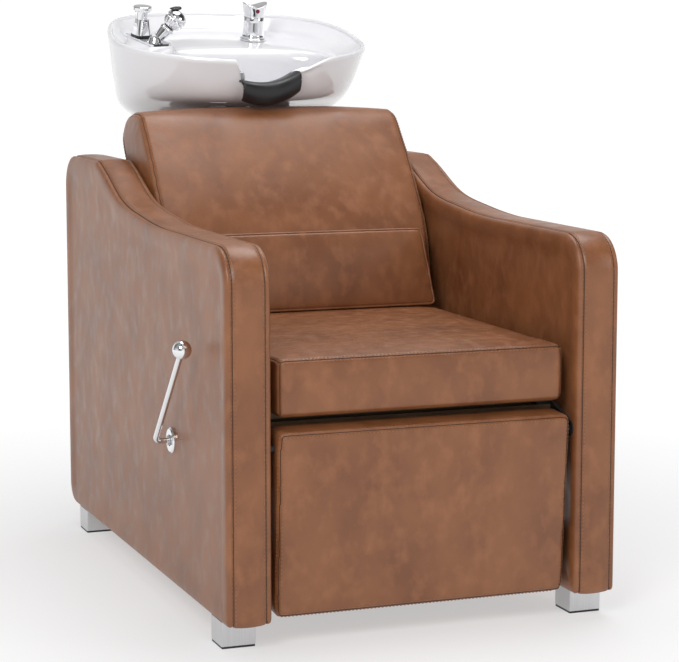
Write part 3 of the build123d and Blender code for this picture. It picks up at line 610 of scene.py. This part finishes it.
def stitching(name, piece, seams, body, rows=(-1, 1), aside=4.5 * MM):
    """Top-stitching on both sides of each seam, and the dark line where the panels meet."""
    rows_made, joins = [], []
    for seam in seams:
        line, normals = line_on(piece.data, resample(seam, 3 * MM, closed=False))
        for row in rows:
            shifted = sideways(line, normals, row * aside)
            laid, laid_normals = line_on(piece.data, shifted)
            rows_made.append(stitch_points(laid, laid_normals))
        joins.append(tube_points(line, normals, CREASE_RADIUS))
    creases = mesh_from(name + "_seam", *gather(joins))
    put(name + "_seam", creases, "tan_leather", body, "seam_shadow")
    if rows:
        threads = mesh_from(name + "_thread", *gather(rows_made))
        put(name + "_thread", threads, "tan_leather", body, "thread")


def sideways(line, normals, distance):
    along = np.gradient(line, axis=0)
    along /= np.maximum(np.linalg.norm(along, axis=1), 1e-9)[:, None]
    across = np.cross(normals, along)
    return line + across * distance


def piping(name, piece, loops, body, radius):
    """A leather-covered cord sewn into an edge."""
    parts = []
    for loop in loops:
        line, normals = line_on(piece.data, resample(loop, 5 * MM))
        parts.append(tube_points(line + normals * radius * 0.25, normals, radius, 8, True))
    put(name, mesh_from(name, *gather(parts)), "tan_leather", body)


# ------------------------------------------------------------------ arms
ARM_LOW_TOP = 0.622
ARM_CORNER = 0.060
BAND_SEAM = 27.0 * MM
ARM_HUB = (at(520), 0.36)


def arm_outline():
    """Side profile of an arm in (y, z): low over the seat, then sweeping up to the backrest."""
    base, top = arm_low.z, arm_high.z
    rear = arm_high.y
    outline = corner_arc((ARM_FRONT + ARM_CORNER, ARM_LOW_TOP - ARM_CORNER), ARM_CORNER, 180, 90, 16)
    sweep = [(at(330), ARM_LOW_TOP), (at(487), ARM_LOW_TOP + 0.009), (at(616), top - 0.059)]
    sweep += [(at(751), top - 0.007), (at(775), top)]
    outline += flow(sweep)
    outline += corner_arc((rear - ARM_CORNER, top - ARM_CORNER), ARM_CORNER, 90, 0, 16)
    outline += corner_arc((rear - 0.040, base + 0.040), 0.040, 0, -90, 12)
    outline += corner_arc((ARM_FRONT + 0.008, base + 0.008), 0.008, -90, -180, 5)
    return resample(outline, 7 * MM)


def arm_profile():
    """Cross-section of an arm: full side panels, a groove at each seam and a crowned band."""
    half = (arm_high.x - arm_low.x) / 2 / MM
    side = [(half, 48), (half, 38), (half + 1.6, 29), (half + 3.2, 20), (half + 3.4, 11), (half + 2.6, 5.5)]
    side += [(half + 0.8, 2.2), (half - 1.8, 0.5), (half - 3.8, 0.2)]
    seam = BAND_SEAM / MM
    band = [(seam + 0.5, 1.9), (seam - 0.5, 1.9), (seam - 2.4, -0.2), (seam - 6.5, -1.5)]
    band += [(seam * 0.4, -2.5), (0.0, -2.8)]
    right = [(across * MM, inset * MM) for across, inset in side + band]
    return right + [(-across, inset) for across, inset in reversed(right[:-1])]


def build_arm(hand, side):
    centre = side * (arm_low.x + arm_high.x) / 2
    outline = arm_outline()
    mesh = wrap(
        f"{hand}_arm_upholstery", outline, arm_profile(), lambda y, z, x: (centre + x, y, z), ARM_HUB
    )
    arm = put(f"{hand}_arm_upholstery", mesh, "tan_leather", "chair")
    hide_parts(f"{hand}_arm_cover")
    seams = []
    for across in (-BAND_SEAM, BAND_SEAM):
        run = outline[outline[:, 1] > arm_low.z + 1 * MM]
        start = int(np.argmin(run[:, 0] + run[:, 1] * 2))
        run = np.roll(run, -start, axis=0)
        seams.append(np.array([(centre + across, y, z) for y, z in run]))
    stitching(f"{hand}_arm", arm, seams, "chair", aside=4.0 * MM)


# ------------------------------------------------------------------ cushions
def build_seat():
    low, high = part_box("seat_cushion")
    half_height = (high.z - low.z) / 2
    middle = (low.z + high.z) / 2
    swell = 3 * MM
    outline = rounded_rectangle(high.x + 2 * MM, low.y + swell, high.y - swell, 5 * MM)
    outline = resample(outline, 6 * MM)
    profile = boxed_profile(half_height - 1 * MM, 5 * MM, 0.5 * MM, 40 * MM)
    base = wrap("seat_base", outline, profile, lambda x, y, z: (x, y, middle + z))
    edge = outline - outward(outline) * 1.5 * MM
    loops = [np.array([(x, y, middle + s * (half_height - 2.5 * MM)) for x, y in edge]) for s in (1, -1)]
    corners = []
    for side in (-1, 1):
        x = side * (high.x + 0.5 * MM)
        heights = np.linspace(low.z + 3 * MM, high.z - 3 * MM, 20)
        corners.append(np.array([(x, low.y + 4 * MM, z) for z in heights]))
    closed = [closed_loop(loop) for loop in loops]

    def held(points):
        return points[:, 2] < low.z + 6 * MM

    seat = cushion("seat_upholstery", base, closed + corners, "chair", "seat_cushion", 6 * MM, held)
    ordered = order_front(loops[0], low.y + 90 * MM)
    stitching("seat_front_edge", seat, [ordered], "chair", aside=3.6 * MM)
    stitching("seat_corner", seat, corners, "chair", rows=())


def order_front(loop, limit):
    """The part of a closed loop in front of a limit, in order from one side to the other."""
    keep = loop[:, 1] < limit
    start = int(np.flatnonzero(keep & ~np.roll(keep, 1))[0])
    turned = np.roll(loop, -start, axis=0)
    return turned[: int(keep.sum())]


BACKREST_PROFILE = [
    (571, 452), (578, 510), (588, 562), (606, 606), (630, 640), (680, 709), (722, 767), (742, 792),
    (762, 801), (790, 801), (822, 798), (856, 780), (867, 745), (858, 712), (776, 607), (700, 500),
    (690, 452),
]


def build_backrest():
    low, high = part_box("backrest_cushion")
    swell = 2 * MM
    raw = np.array([(at(d), z * MM) for d, z in BACKREST_PROFILE])
    outline = resample(rounded(raw, 2), 6 * MM)
    outline = outline - outward(outline) * swell
    half = high.x + 2 * MM

    def place(y, z, x):
        """Rounds the two upper corners as they look from the front."""
        corner = 34 * MM
        into = max(0.0, abs(x) - (half - corner))
        drop = corner - math.sqrt(max(0.0, corner**2 - into**2))
        share = smoothstep(z, 0.69, 0.80)
        return (x, y + 0.3 * drop * share, z - 0.45 * drop * share)

    base = wrap("backrest_base", outline, boxed_profile(half, 8 * MM, 0.5 * MM, 30 * MM), place)
    seams = []
    for side in (-1, 1):
        edge = outline - outward(outline) * 1 * MM
        x = side * (half - 7 * MM)
        seams.append(closed_loop(np.array([place(y, z, x) for y, z in edge])))

    def held(points):
        """The foot of the cushion and the face that lies on its board."""
        depth, height = points[:, 1], points[:, 2]
        return (height < low.z + 8 * MM) | (depth > at(700) + (height - 0.500) * 0.7 - 12 * MM)

    back = cushion("backrest_upholstery", base, seams, "chair", "backrest_cushion", 7 * MM, held)
    visible = []
    for seam in seams:
        depth, height = seam[:, 1], seam[:, 2]
        face = seam[(height > 0.47) & (depth < at(862)) & (depth < at(705) + (height - 0.5) * 0.62)]
        order = np.argsort(np.arctan2(face[:, 2] - 0.62, face[:, 1] - at(760)) * -1)
        visible.append(face[order])
    stitching("backrest", back, visible, "chair", aside=5 * MM)


def build_pillow():
    low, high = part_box("lumbar_pillow")
    lean = math.radians(13.0)
    thickness = 50 * MM
    height = 146 * MM
    foot = Vector((0, at(508), 0.452))
    up = Vector((0, math.sin(lean), math.cos(lean)))
    back = Vector((0, math.cos(lean), -math.sin(lean)))

    def place(x, v, w):
        across, rise = x / high.x, 2 * v / height - 1
        swell = 11 * MM * (1 - across**4) * max(0.0, 1 - rise * rise) * (0.5 - w / thickness)
        spot = foot + up * v + back * (thickness / 2 + w - swell)
        return (x * (1.03 - 0.075 * v / height), spot.y, max(spot.z, low.z))

    outline = resample(rounded_rectangle(high.x - 3 * MM, 2 * MM, height - 2 * MM, 9 * MM), 6 * MM)
    half = thickness / 2 - 1.5 * MM
    base = wrap("pillow_base", outline, boxed_profile(half, 5 * MM, 0.5 * MM, 30 * MM), place)
    edge = outline - outward(outline) * 1.5 * MM
    loops = [np.array([place(x, v, s * (half - 2.0 * MM)) for x, v in edge]) for s in (-1, 1)]
    closed = [closed_loop(loop) for loop in loops]

    def held(points):
        return points[:, 2] < low.z + 5 * MM

    pillow = cushion("lumbar_pillow_cover", base, closed, "chair", "lumbar_pillow", 8 * MM, held)
    piping("lumbar_pillow_piping", pillow, loops, "chair", 2.2 * MM)


def build_footrest():
    _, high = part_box("footrest_pad")
    lean = math.radians(4.0)
    thickness = 66 * MM
    height = 297 * MM
    top = Vector((0, at(-5), 0.340))
    down = Vector((0, math.sin(lean), -math.cos(lean)))
    back = Vector((0, math.cos(lean), math.sin(lean)))

    def place(x, v, w):
        spot = top + down * v + back * (thickness / 2 + w)
        return (x, spot.y, spot.z)

    outline = resample(rounded_rectangle(high.x + 4 * MM, 2 * MM, height - 2 * MM, 10 * MM), 6 * MM)
    half = thickness / 2 - 1.5 * MM
    base = wrap("footrest_base", outline, boxed_profile(half, 6 * MM, 0.5 * MM, 36 * MM), place)
    edge = outline - outward(outline) * 2 * MM
    loops = [np.array([place(x, v, s * (half - 2.5 * MM)) for x, v in edge]) for s in (-1, 1)]
    closed = [closed_loop(loop) for loop in loops]
    rear_face = top + back * (thickness - 6 * MM)

    def held(points):
        """The face that lies on the footrest's board."""
        return (points[:, 1] - rear_face.y) * back.y + (points[:, 2] - rear_face.z) * back.z > 0

    pad = cushion("footrest_upholstery", base, closed, "footrest", "footrest_pad", 6 * MM, held)
    stitching("footrest_front", pad, [closed[0]], "footrest", aside=5 * MM)


# ------------------------------------------------------------------ basin
RIM_ORIGIN = Vector((0, at(937), 0.923))
TILT = math.radians(11.2)
RIM_UP = Vector((0, -math.sin(TILT), math.cos(TILT)))
RIM_BACK = Vector((0, math.cos(TILT), math.sin(TILT)))
DECK = -26.0
RIM_EGG = (248, 197, 274)
WAIST_EGG = (229, 198, 225)
# Level rings of the bowl: height, half width, reach forward, reach back, depth of the centre.
FOOT_RINGS = ((745, 130, 88, 112, 1012), (749, 141, 97, 126, 1011), (795, 209, 150, 200, 999))
WELL_RINGS = (
    (800, 126, 68, 72, 938), (772, 74, 44, 52, 954), (763.5, 44, 33, 36, 960), (762, 30, 30, 30, 960),
    (762, 23, 23, 23, 960),
)
WASTE_RING = (752, 22, 22, 22, 960)


def on_rim(u, v, w):
    """Millimetres on the rim plane (right-left, fore-aft, above) to a point of the row frame."""
    return RIM_ORIGIN + Vector((u * MM, 0, 0)) + RIM_BACK * (v * MM) + RIM_UP * (w * MM)


def egg_point(angle, half, front, rear, centre=0.0):
    """A point of an egg outline: angle 0 is the rear, and it turns towards +X."""
    reach = rear if math.cos(angle) > 0 else front
    return half * math.sin(angle), centre + reach * math.cos(angle)


def smoothstep(value, low, high):
    t = min(1.0, max(0.0, (value - low) / (high - low)))
    return t * t * (3 - 2 * t)


def rim_rise(v):
    """The rim stands a little proud of its plane half way along each rear side."""
    return 9.0 * math.sin(math.pi * min(1.0, max(0.0, v / 268.0)))


def notch_dip(u, v):
    """How far the rim drops into the neck notch: steeply on one side, in a long curve on the other."""
    if v > -100:
        return 0.0
    if u < 0:
        return -47.0 * smoothstep(u, -66, -50)
    ramp = 21.0 * (1 - smoothstep(u, 52, 150)) ** 1.3
    return -ramp - 26.0 * (1 - smoothstep(u, 44, 62))


def catmull(points, steps):
    """A smooth curve through some points in space."""
    line = np.array(points, float)
    padded = np.vstack([2 * line[0] - line[1], line, 2 * line[-1] - line[-2]])
    out = []
    for k in range(1, len(padded) - 2):
        p0, p1, p2, p3 = padded[k - 1 : k + 3]
        for t in np.linspace(0, 1, steps, endpoint=False):
            a = 2 * p1 + (p2 - p0) * t + (2 * p0 - 5 * p1 + 4 * p2 - p3) * t**2
            out.append(0.5 * (a + (3 * p1 - p0 - 3 * p2 + p3) * t**3))
    out.append(line[-1])
    return np.array(out)


def level_point(angle, height, half, front, rear, depth):
    """A point of an egg outline lying level at a height, in rim-plane millimetres."""
    u, v = egg_point(angle, half, front, rear)
    spot = Vector((0, at(depth) + v * MM, height * MM)) - RIM_ORIGIN
    return (u, spot.dot(RIM_BACK) / MM, spot.dot(RIM_UP) / MM)


def outer_column(angle):
    """The outside of the bowl from its foot to the rim, cut short where the notch dips."""
    half_tilt = TILT / 2
    nu, nv = egg_point(angle, *WAIST_EGG)
    neck = Vector((0, at(975) + nv * MM * math.cos(half_tilt), 0.838 + nv * MM * math.sin(half_tilt)))
    neck = neck - RIM_ORIGIN
    ru, rv = egg_point(angle, *RIM_EGG)
    knots = [level_point(angle, *ring) for ring in FOOT_RINGS]
    knots += [(nu, neck.dot(RIM_BACK) / MM, neck.dot(RIM_UP) / MM), (ru, rv, -4.0)]
    curve = catmull(knots, 12)
    top = notch_dip(ru, rv) + rim_rise(rv) - 4.0
    heights = np.maximum.accumulate(curve[:, 2]) + np.arange(len(curve)) * 1e-6
    stretch = smoothstep(top, -4.0, 8.0) * (top + 4.0)
    lifted = heights + np.clip((heights + 60) / 56, 0, 1) * stretch
    target = np.linspace(lifted[0], top, 34)
    across, along = (np.interp(target, lifted, curve[:, k]) for k in (0, 1))
    return np.column_stack([across, along, target])


def inner_column(angle):
    """The rounded rim, the slope inside it, the deck, the well wall and the floor."""
    ru, rv = egg_point(angle, *RIM_EGG)
    edge = notch_dip(ru, rv) + rim_rise(rv)
    deep = min(DECK, edge - 10.0)
    shoulder = min(DECK - 24.0, edge - 24.0)
    knots = []
    for inset, drop in ((1, 1.2), (3.0, -0.6), (6.5, -0.9), (9.5, 2.2), (13.0, 6.5)):
        knots.append((*egg_point(angle, *(reach - inset for reach in RIM_EGG)), edge - drop))
    knots.append((*egg_point(angle, 214, 176, 240), max(deep + 8.0 - 10.0 * (edge < -30), edge - 22.0)))
    shelf = (
        ((196, 170, 216), deep + 0.5, 16.0),
        ((182, 163, 110, -12), deep - 0.5, 22.0),
        ((174, 156, 84, -20), deep - 1.5, 26.0),
        ((169, 148, 72, -24), deep - 6.0, 30.0),
        ((162, 134, 64, -26), shoulder - 4.0, 38.0),
    )
    for egg, level, notch_drop in shelf:
        knots.append((*egg_point(angle, *egg), level if edge > -30 else edge - notch_drop))
    return catmull(knots + [level_point(angle, *ring) for ring in WELL_RINGS], 5)


def basin_angles():
    """Angles round the bowl, closer together where the notch is cut."""
    fine = np.linspace(0, math.tau, 4000, endpoint=False)
    weight = 1 + 3.2 * np.exp(-(((fine - math.pi) / 0.42) ** 2))
    total = np.concatenate([[0], np.cumsum(weight)])[:-1]
    return np.interp(np.linspace(0, total[-1], 232, endpoint=False), total, fine)


LEDGE_CENTRE = (-160.0, 70.0)
LEDGE_TURN = math.radians(12.0)
LEDGE_DROP = -16.2


def raise_ledge(column):
    """Lifts the deck to a flat pad under the accessory plate."""
    for point in column:
        du, dv = point[0] - LEDGE_CENTRE[0], point[1] - LEDGE_CENTRE[1]
        across = du * math.cos(LEDGE_TURN) + dv * math.sin(LEDGE_TURN)
        along = dv * math.cos(LEDGE_TURN) - du * math.sin(LEDGE_TURN)
        off = math.hypot(max(0.0, abs(across) - 22), max(0.0, abs(along) - 57))
        share = 1 - smoothstep(off, 1.0, 15.0)
        point[2] = point[2] * (1 - share) + LEDGE_DROP * share if point[2] < -5 or share > 0.9 else point[2]
    return column


def build_basin():
    columns = []
    for angle in basin_angles():
        outside = outer_column(angle)
        inside = raise_ledge(inner_column(angle))
        columns.append(np.vstack([outside, inside, [level_point(angle, *WASTE_RING)]]))
    around, rings = len(columns), len(columns[0])
    points = [on_rim(*columns[k][ring]) for ring in range(rings) for k in range(around)]
    faces = ring_faces(rings, around) + end_faces(rings, around, True)
    bowl = put("basin_bowl", mesh_from("basin_bowl", points, faces), "white_glaze", "basin")
    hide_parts("basin", "basin_well")


# ------------------------------------------------------------------ neck rest
def build_neck_rest():
    """A soft black saddle hooked over the notch, with a rolled edge."""
    path = [(745, 804.5), (739, 809), (735, 821), (735.5, 834), (740.5, 843), (751, 846.5), (772, 846)]
    path += [(796, 843), (810, 834), (815, 820)]
    centre_line = catmull([(d, z, 0) for d, z in path], 9)[:, :2]
    across = np.linspace(-1, 1, 73)
    thickness = 5.0
    count = len(centre_line)
    outer, inner = [], []
    along = np.gradient(centre_line, axis=0)
    normal = np.column_stack([-along[:, 1], along[:, 0]])
    normal /= np.linalg.norm(normal, axis=1)[:, None]
    for k, (depth, height) in enumerate(centre_line):
        flap = 1 - smoothstep(k / (count - 1), 0.0, 0.42)
        for s in across:
            x = 54.0 * s
            aslant = (x + 13.0) ** 2
            top_lift = aslant * (0.0046 if x > -13 else 0.0031)
            hem_lift = aslant * (0.0052 if x > -13 else 0.0050)
            wrap_back = 5.0 * s * s * flap
            spot = np.array([x, depth + wrap_back, height + top_lift * (1 - flap) + hem_lift * flap])
            for shell, push in ((outer, 0.0), (inner, -thickness)):
                depth_there, height_there = spot[1:] + normal[k] * push
                shell.append((spot[0] * MM, at(depth_there), height_there * MM))
    width = len(across)
    rows = ring_faces(count, width, closed=False)
    size = len(outer)
    faces = rows + [[size + a for a in reversed(face)] for face in rows]
    rim = list(range(width))
    rim += [(r + 1) * width - 1 for r in range(1, count)]
    rim += [(count - 1) * width + k for k in reversed(range(width - 1))]
    rim += [r * width for r in reversed(range(1, count - 1))]
    faces += [[a, b, size + b, size + a] for a, b in zip(rim, rim[1:] + rim[:1])]
    mesh = mesh_from("neck_rest_saddle", outer + inner, faces)
    saddle = put("neck_rest_saddle", mesh, "black_rubber", "basin")
    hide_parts("neck_rest")
    loop = np.array([outer[k] for k in rim]) * 0.5 + np.array([inner[k] for k in rim]) * 0.5
    upward = np.tile(np.array([0.001, 0.001, 1.001]), (len(loop), 1))
    points, faces = tube_points(loop, upward, 2.4 * MM, 10, True)
    put("neck_rest_rolled_edge", mesh_from("neck_rest_rolled_edge", points, faces), "black_rubber", "basin")


# ------------------------------------------------------------------ tap and sprayer
def spun(name, profile, origin, axis, radius_at=None, height_at=None, around=72, bored=False):
    """A turned part: (radius, height) pairs in millimetres swept about an axis. Two functions of
    the angle, radius and height can change either round the part, as for flutes or a scooped top.
    A bored part closes on itself, with a hole through it."""
    up = Vector(axis).normalized()
    side = Vector((1, 0, 0))
    side = (side - up * side.dot(up)).normalized()
    ahead = up.cross(side)
    points = []
    for r, h in profile:
        for k in range(around):
            angle = math.tau * k / around
            reach = radius_at(angle, r, h) if radius_at else r
            height = height_at(angle, r, h) if height_at else h
            spot = side * math.cos(angle) * reach + ahead * math.sin(angle) * reach
            points.append(Vector(origin) + (spot + up * height) * MM)
    faces = ring_faces(len(profile), around) + end_faces(len(profile), around, bored)
    return mesh_from(name, points, faces)


TAP_FOOT = on_rim(70, 125, DECK)
HANDLE_BASE = 47.0
HANDLE_TOP = 66.0


def build_tap_handle():
    """The lever cap: it flares to two horns, with a saddle between them for the thumb."""

    def horn(angle):
        return abs(math.cos(angle)) ** 1.6

    def flared(angle, r, h):
        share = smoothstep(h, HANDLE_BASE + 2, HANDLE_TOP)
        return r + share * (3.6 * horn(angle) + 0.5) * (r / 20.5)

    def scooped(angle, r, h):
        share = smoothstep(h, HANDLE_BASE + 4, HANDLE_TOP)
        return h + share * 9.5 * horn(angle) * (r / 20.5) ** 2

    profile = [(0.5, HANDLE_BASE), (20.0, HANDLE_BASE), (20.5, HANDLE_BASE + 0.5)]
    profile += [(20.5, h) for h in np.linspace(HANDLE_BASE + 2, HANDLE_TOP - 1.2, 12)]
    profile += [(20.2, HANDLE_TOP - 0.3), (19.4, HANDLE_TOP)]
    profile += [(r, HANDLE_TOP) for r in (17, 15, 12.5, 10, 7.5, 5, 2.5, 0.5)]
    mesh = spun("tap_handle_cap", profile, TAP_FOOT, RIM_UP, flared, scooped)
    cap = put("tap_handle_cap", mesh, "chrome", "tap_handle")
    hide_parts("tap_handle")


def build_tap_body():
    """A tapered column with a stepped foot ring and a fine groove under the cap."""
    profile = [(2, 0.5), (24.5, 0.5), (25.2, 1.2), (25.2, 4.2), (24.4, 5.0), (22.4, 5.2), (21.8, 6.2)]
    profile += [(22.6, 7.0), (22.6, 8.6), (21.6, 9.4), (21.0, 12), (20.6, 20), (20.5, 36), (20.5, 45.2)]
    profile += [(20.1, 45.8), (19.4, 46.0), (19.4, 46.5), (2, 46.5)]
    body = put("tap_column", spun("tap_column", profile, TAP_FOOT, RIM_UP), "chrome", "basin")
    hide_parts("tap_body")


BALL_CENTRE = Vector((-0.116, 0.4811, 0.9595))
SPRAY_AXIS = Vector((0.669131, -0.144344, 0.728992))
BALL = 21.0
HOSE_LENGTH = 92.0
HOSE_RIB = 2.5
FACETS = 18
STRAINER_SCALE = 0.985


def build_spray_head():
    """A ball whose lower half is cut in facets, with a sunk waist and a smooth domed top."""

    def faceted(angle, r, h):
        turn = (angle % (math.tau / FACETS)) - math.pi / FACETS
        depth = smoothstep(h, -17, -12) * (1 - smoothstep(h, -4.5, -2.5))
        flat = math.cos(math.pi / FACETS) / math.cos(turn)
        return r * (1 - depth + depth * flat) - 0.7 * depth * (1 - abs(turn) * FACETS / math.pi)

    profile = [(1, -35), (7.9, -35), (7.9, -21.5), (9.5, -20.5), (9.8, -18.2)]
    profile += [(BALL * math.cos(a), BALL * math.sin(a)) for a in np.radians(np.linspace(-58, -9, 12))]
    profile += [(19.0, -2.2), (18.6, -1.4), (18.6, 0.4), (19.2, 1.2)]
    profile += [(BALL * math.cos(a), BALL * math.sin(a)) for a in np.radians(np.linspace(6, 60, 12))]
    profile += [(9.2, 17.2), (8.6, 16.4), (5, 16.2), (0.6, 16.2)]
    mesh = spun("spray_ball", profile, BALL_CENTRE, SPRAY_AXIS, faceted, around=FACETS * 8)
    ball = put("spray_ball", mesh, "chrome", "sprayer")
    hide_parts("spray_head")


def build_spray_lever():
    """A black thumb pad, ribbed across, on a short stem that presses into the ball."""
    foot = BALL_CENTRE + RIM_UP * (15.5 * MM)
    profile = [(1, 0), (5.4, 0), (5.6, 3), (5.8, 4.6), (8.2, 5.6), (9.0, 6.8), (8.6, 8.2), (6.8, 9.2)]
    profile += [(3, 9.7), (0.5, 9.8)]

    def long_pad(angle, r, h):
        return r * (1 + 0.28 * smoothstep(h, 4, 6) * math.cos(angle) ** 2)

    def ribbed(angle, r, h):
        slope, ribs = 1.6 * r / 9 * math.cos(angle), 0.35 * math.sin(r * 2.2 * math.sin(angle))
        return h + smoothstep(h, 6, 9) * (slope + ribs)

    mesh = spun("spray_thumb_pad", profile, foot, RIM_UP, long_pad, ribbed)
    pad = put("spray_thumb_pad", mesh, "black_plastic", "spray_trigger")
    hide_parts("spray_trigger")


def build_sprayer_rings():
    """The knurled nut and the black seal where the spray head leaves its holder."""
    mouth = BALL_CENTRE - SPRAY_AXIS * (19.3 * MM)

    def knurled(angle, r, h):
        return r + (0.35 * math.cos(angle * 28) if r > 12 else 0.0)

    nut = [(8.4, -7.6), (12.6, -7.6), (13.3, -6.9), (13.3, -1.4), (12.6, -0.7), (8.4, -0.7)]
    turned = spun("sprayer_nut", nut, mouth, SPRAY_AXIS, knurled, around=168, bored=True)
    put("sprayer_nut", turned, "chrome", "basin")
    ring = [(8.4, -0.6), (11.2, -0.6), (11.6, -0.1), (11.4, 0.3), (8.4, 0.3)]
    put("sprayer_seal", spun("sprayer_seal", ring, mouth, SPRAY_AXIS, bored=True), "black_rubber", "basin")


def build_sprayer_hose():
    """The first stretch of the hose that follows the spray head out of its holder."""
    start, end = -34.0, -34.0 - HOSE_LENGTH
    profile = [(0.5, start)]
    for h in np.arange(start, end, -0.5):
        profile.append((5.2 + 0.35 * math.cos(math.tau * h / HOSE_RIB), h))
    profile.append((0.5, end))
    hose = spun("sprayer_hose", profile, BALL_CENTRE, SPRAY_AXIS, around=32)
    put("sprayer_hose", hose, "chrome", "sprayer")


def build_strainer():
    """The loose strainer, a hair smaller than the flange it sits in."""
    node = frame["nodes"]["drain_strainer"]
    mesh = node.data.copy()
    mesh.transform(node.matrix_world)
    points = coordinates(mesh)
    middle = (points.min(axis=0) + points.max(axis=0)) / 2
    mesh.vertices.foreach_set("co", (middle + (points - middle) * STRAINER_SCALE).ravel())
    mesh.update()
    piece = put("strainer_basket", mesh, "chrome", "strainer")
    for face in mesh.polygons:
        face.use_smooth = False
    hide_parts("drain_strainer")


# ------------------------------------------------------------------ finishes of the CAD's own parts
def finish_cad_nodes():
    """The parts that no piece replaces keep their meshes and take their slot's finish."""
    slots = {part["node"]: part["material_slot"] for part in frame["record"]["subparts"]}
    for name, node in frame["nodes"].items():
        node.data.materials.clear()
        node.data.materials.append(MATERIALS[slots[name]])


bpy.context.scene.view_settings.view_transform = "Standard"
add_camera()
add_world()
add_floor()
add_area_light("key", (-2.2, -2.9, 2.7), (0, 0, 0.6), 1.8, 78, (1.0, 0.99, 0.98))
add_area_light("fill", (2.7, -2.4, 1.7), (0, 0, 0.5), 1.6, 20, (1.0, 0.98, 0.96))
add_area_light("top", (0.4, 0.3, 3.2), (0, -0.1, 0.6), 2.2, 47, (0.98, 0.99, 1.0))
MATERIALS = make_materials()
finish_cad_nodes()
build_arm("left", 1)
build_arm("right", -1)
build_seat()
build_backrest()
build_pillow()
build_footrest()
build_basin()
build_neck_rest()
build_tap_body()
build_tap_handle()
build_spray_head()
build_spray_lever()
build_sprayer_rings()
build_sprayer_hose()
build_strainer()
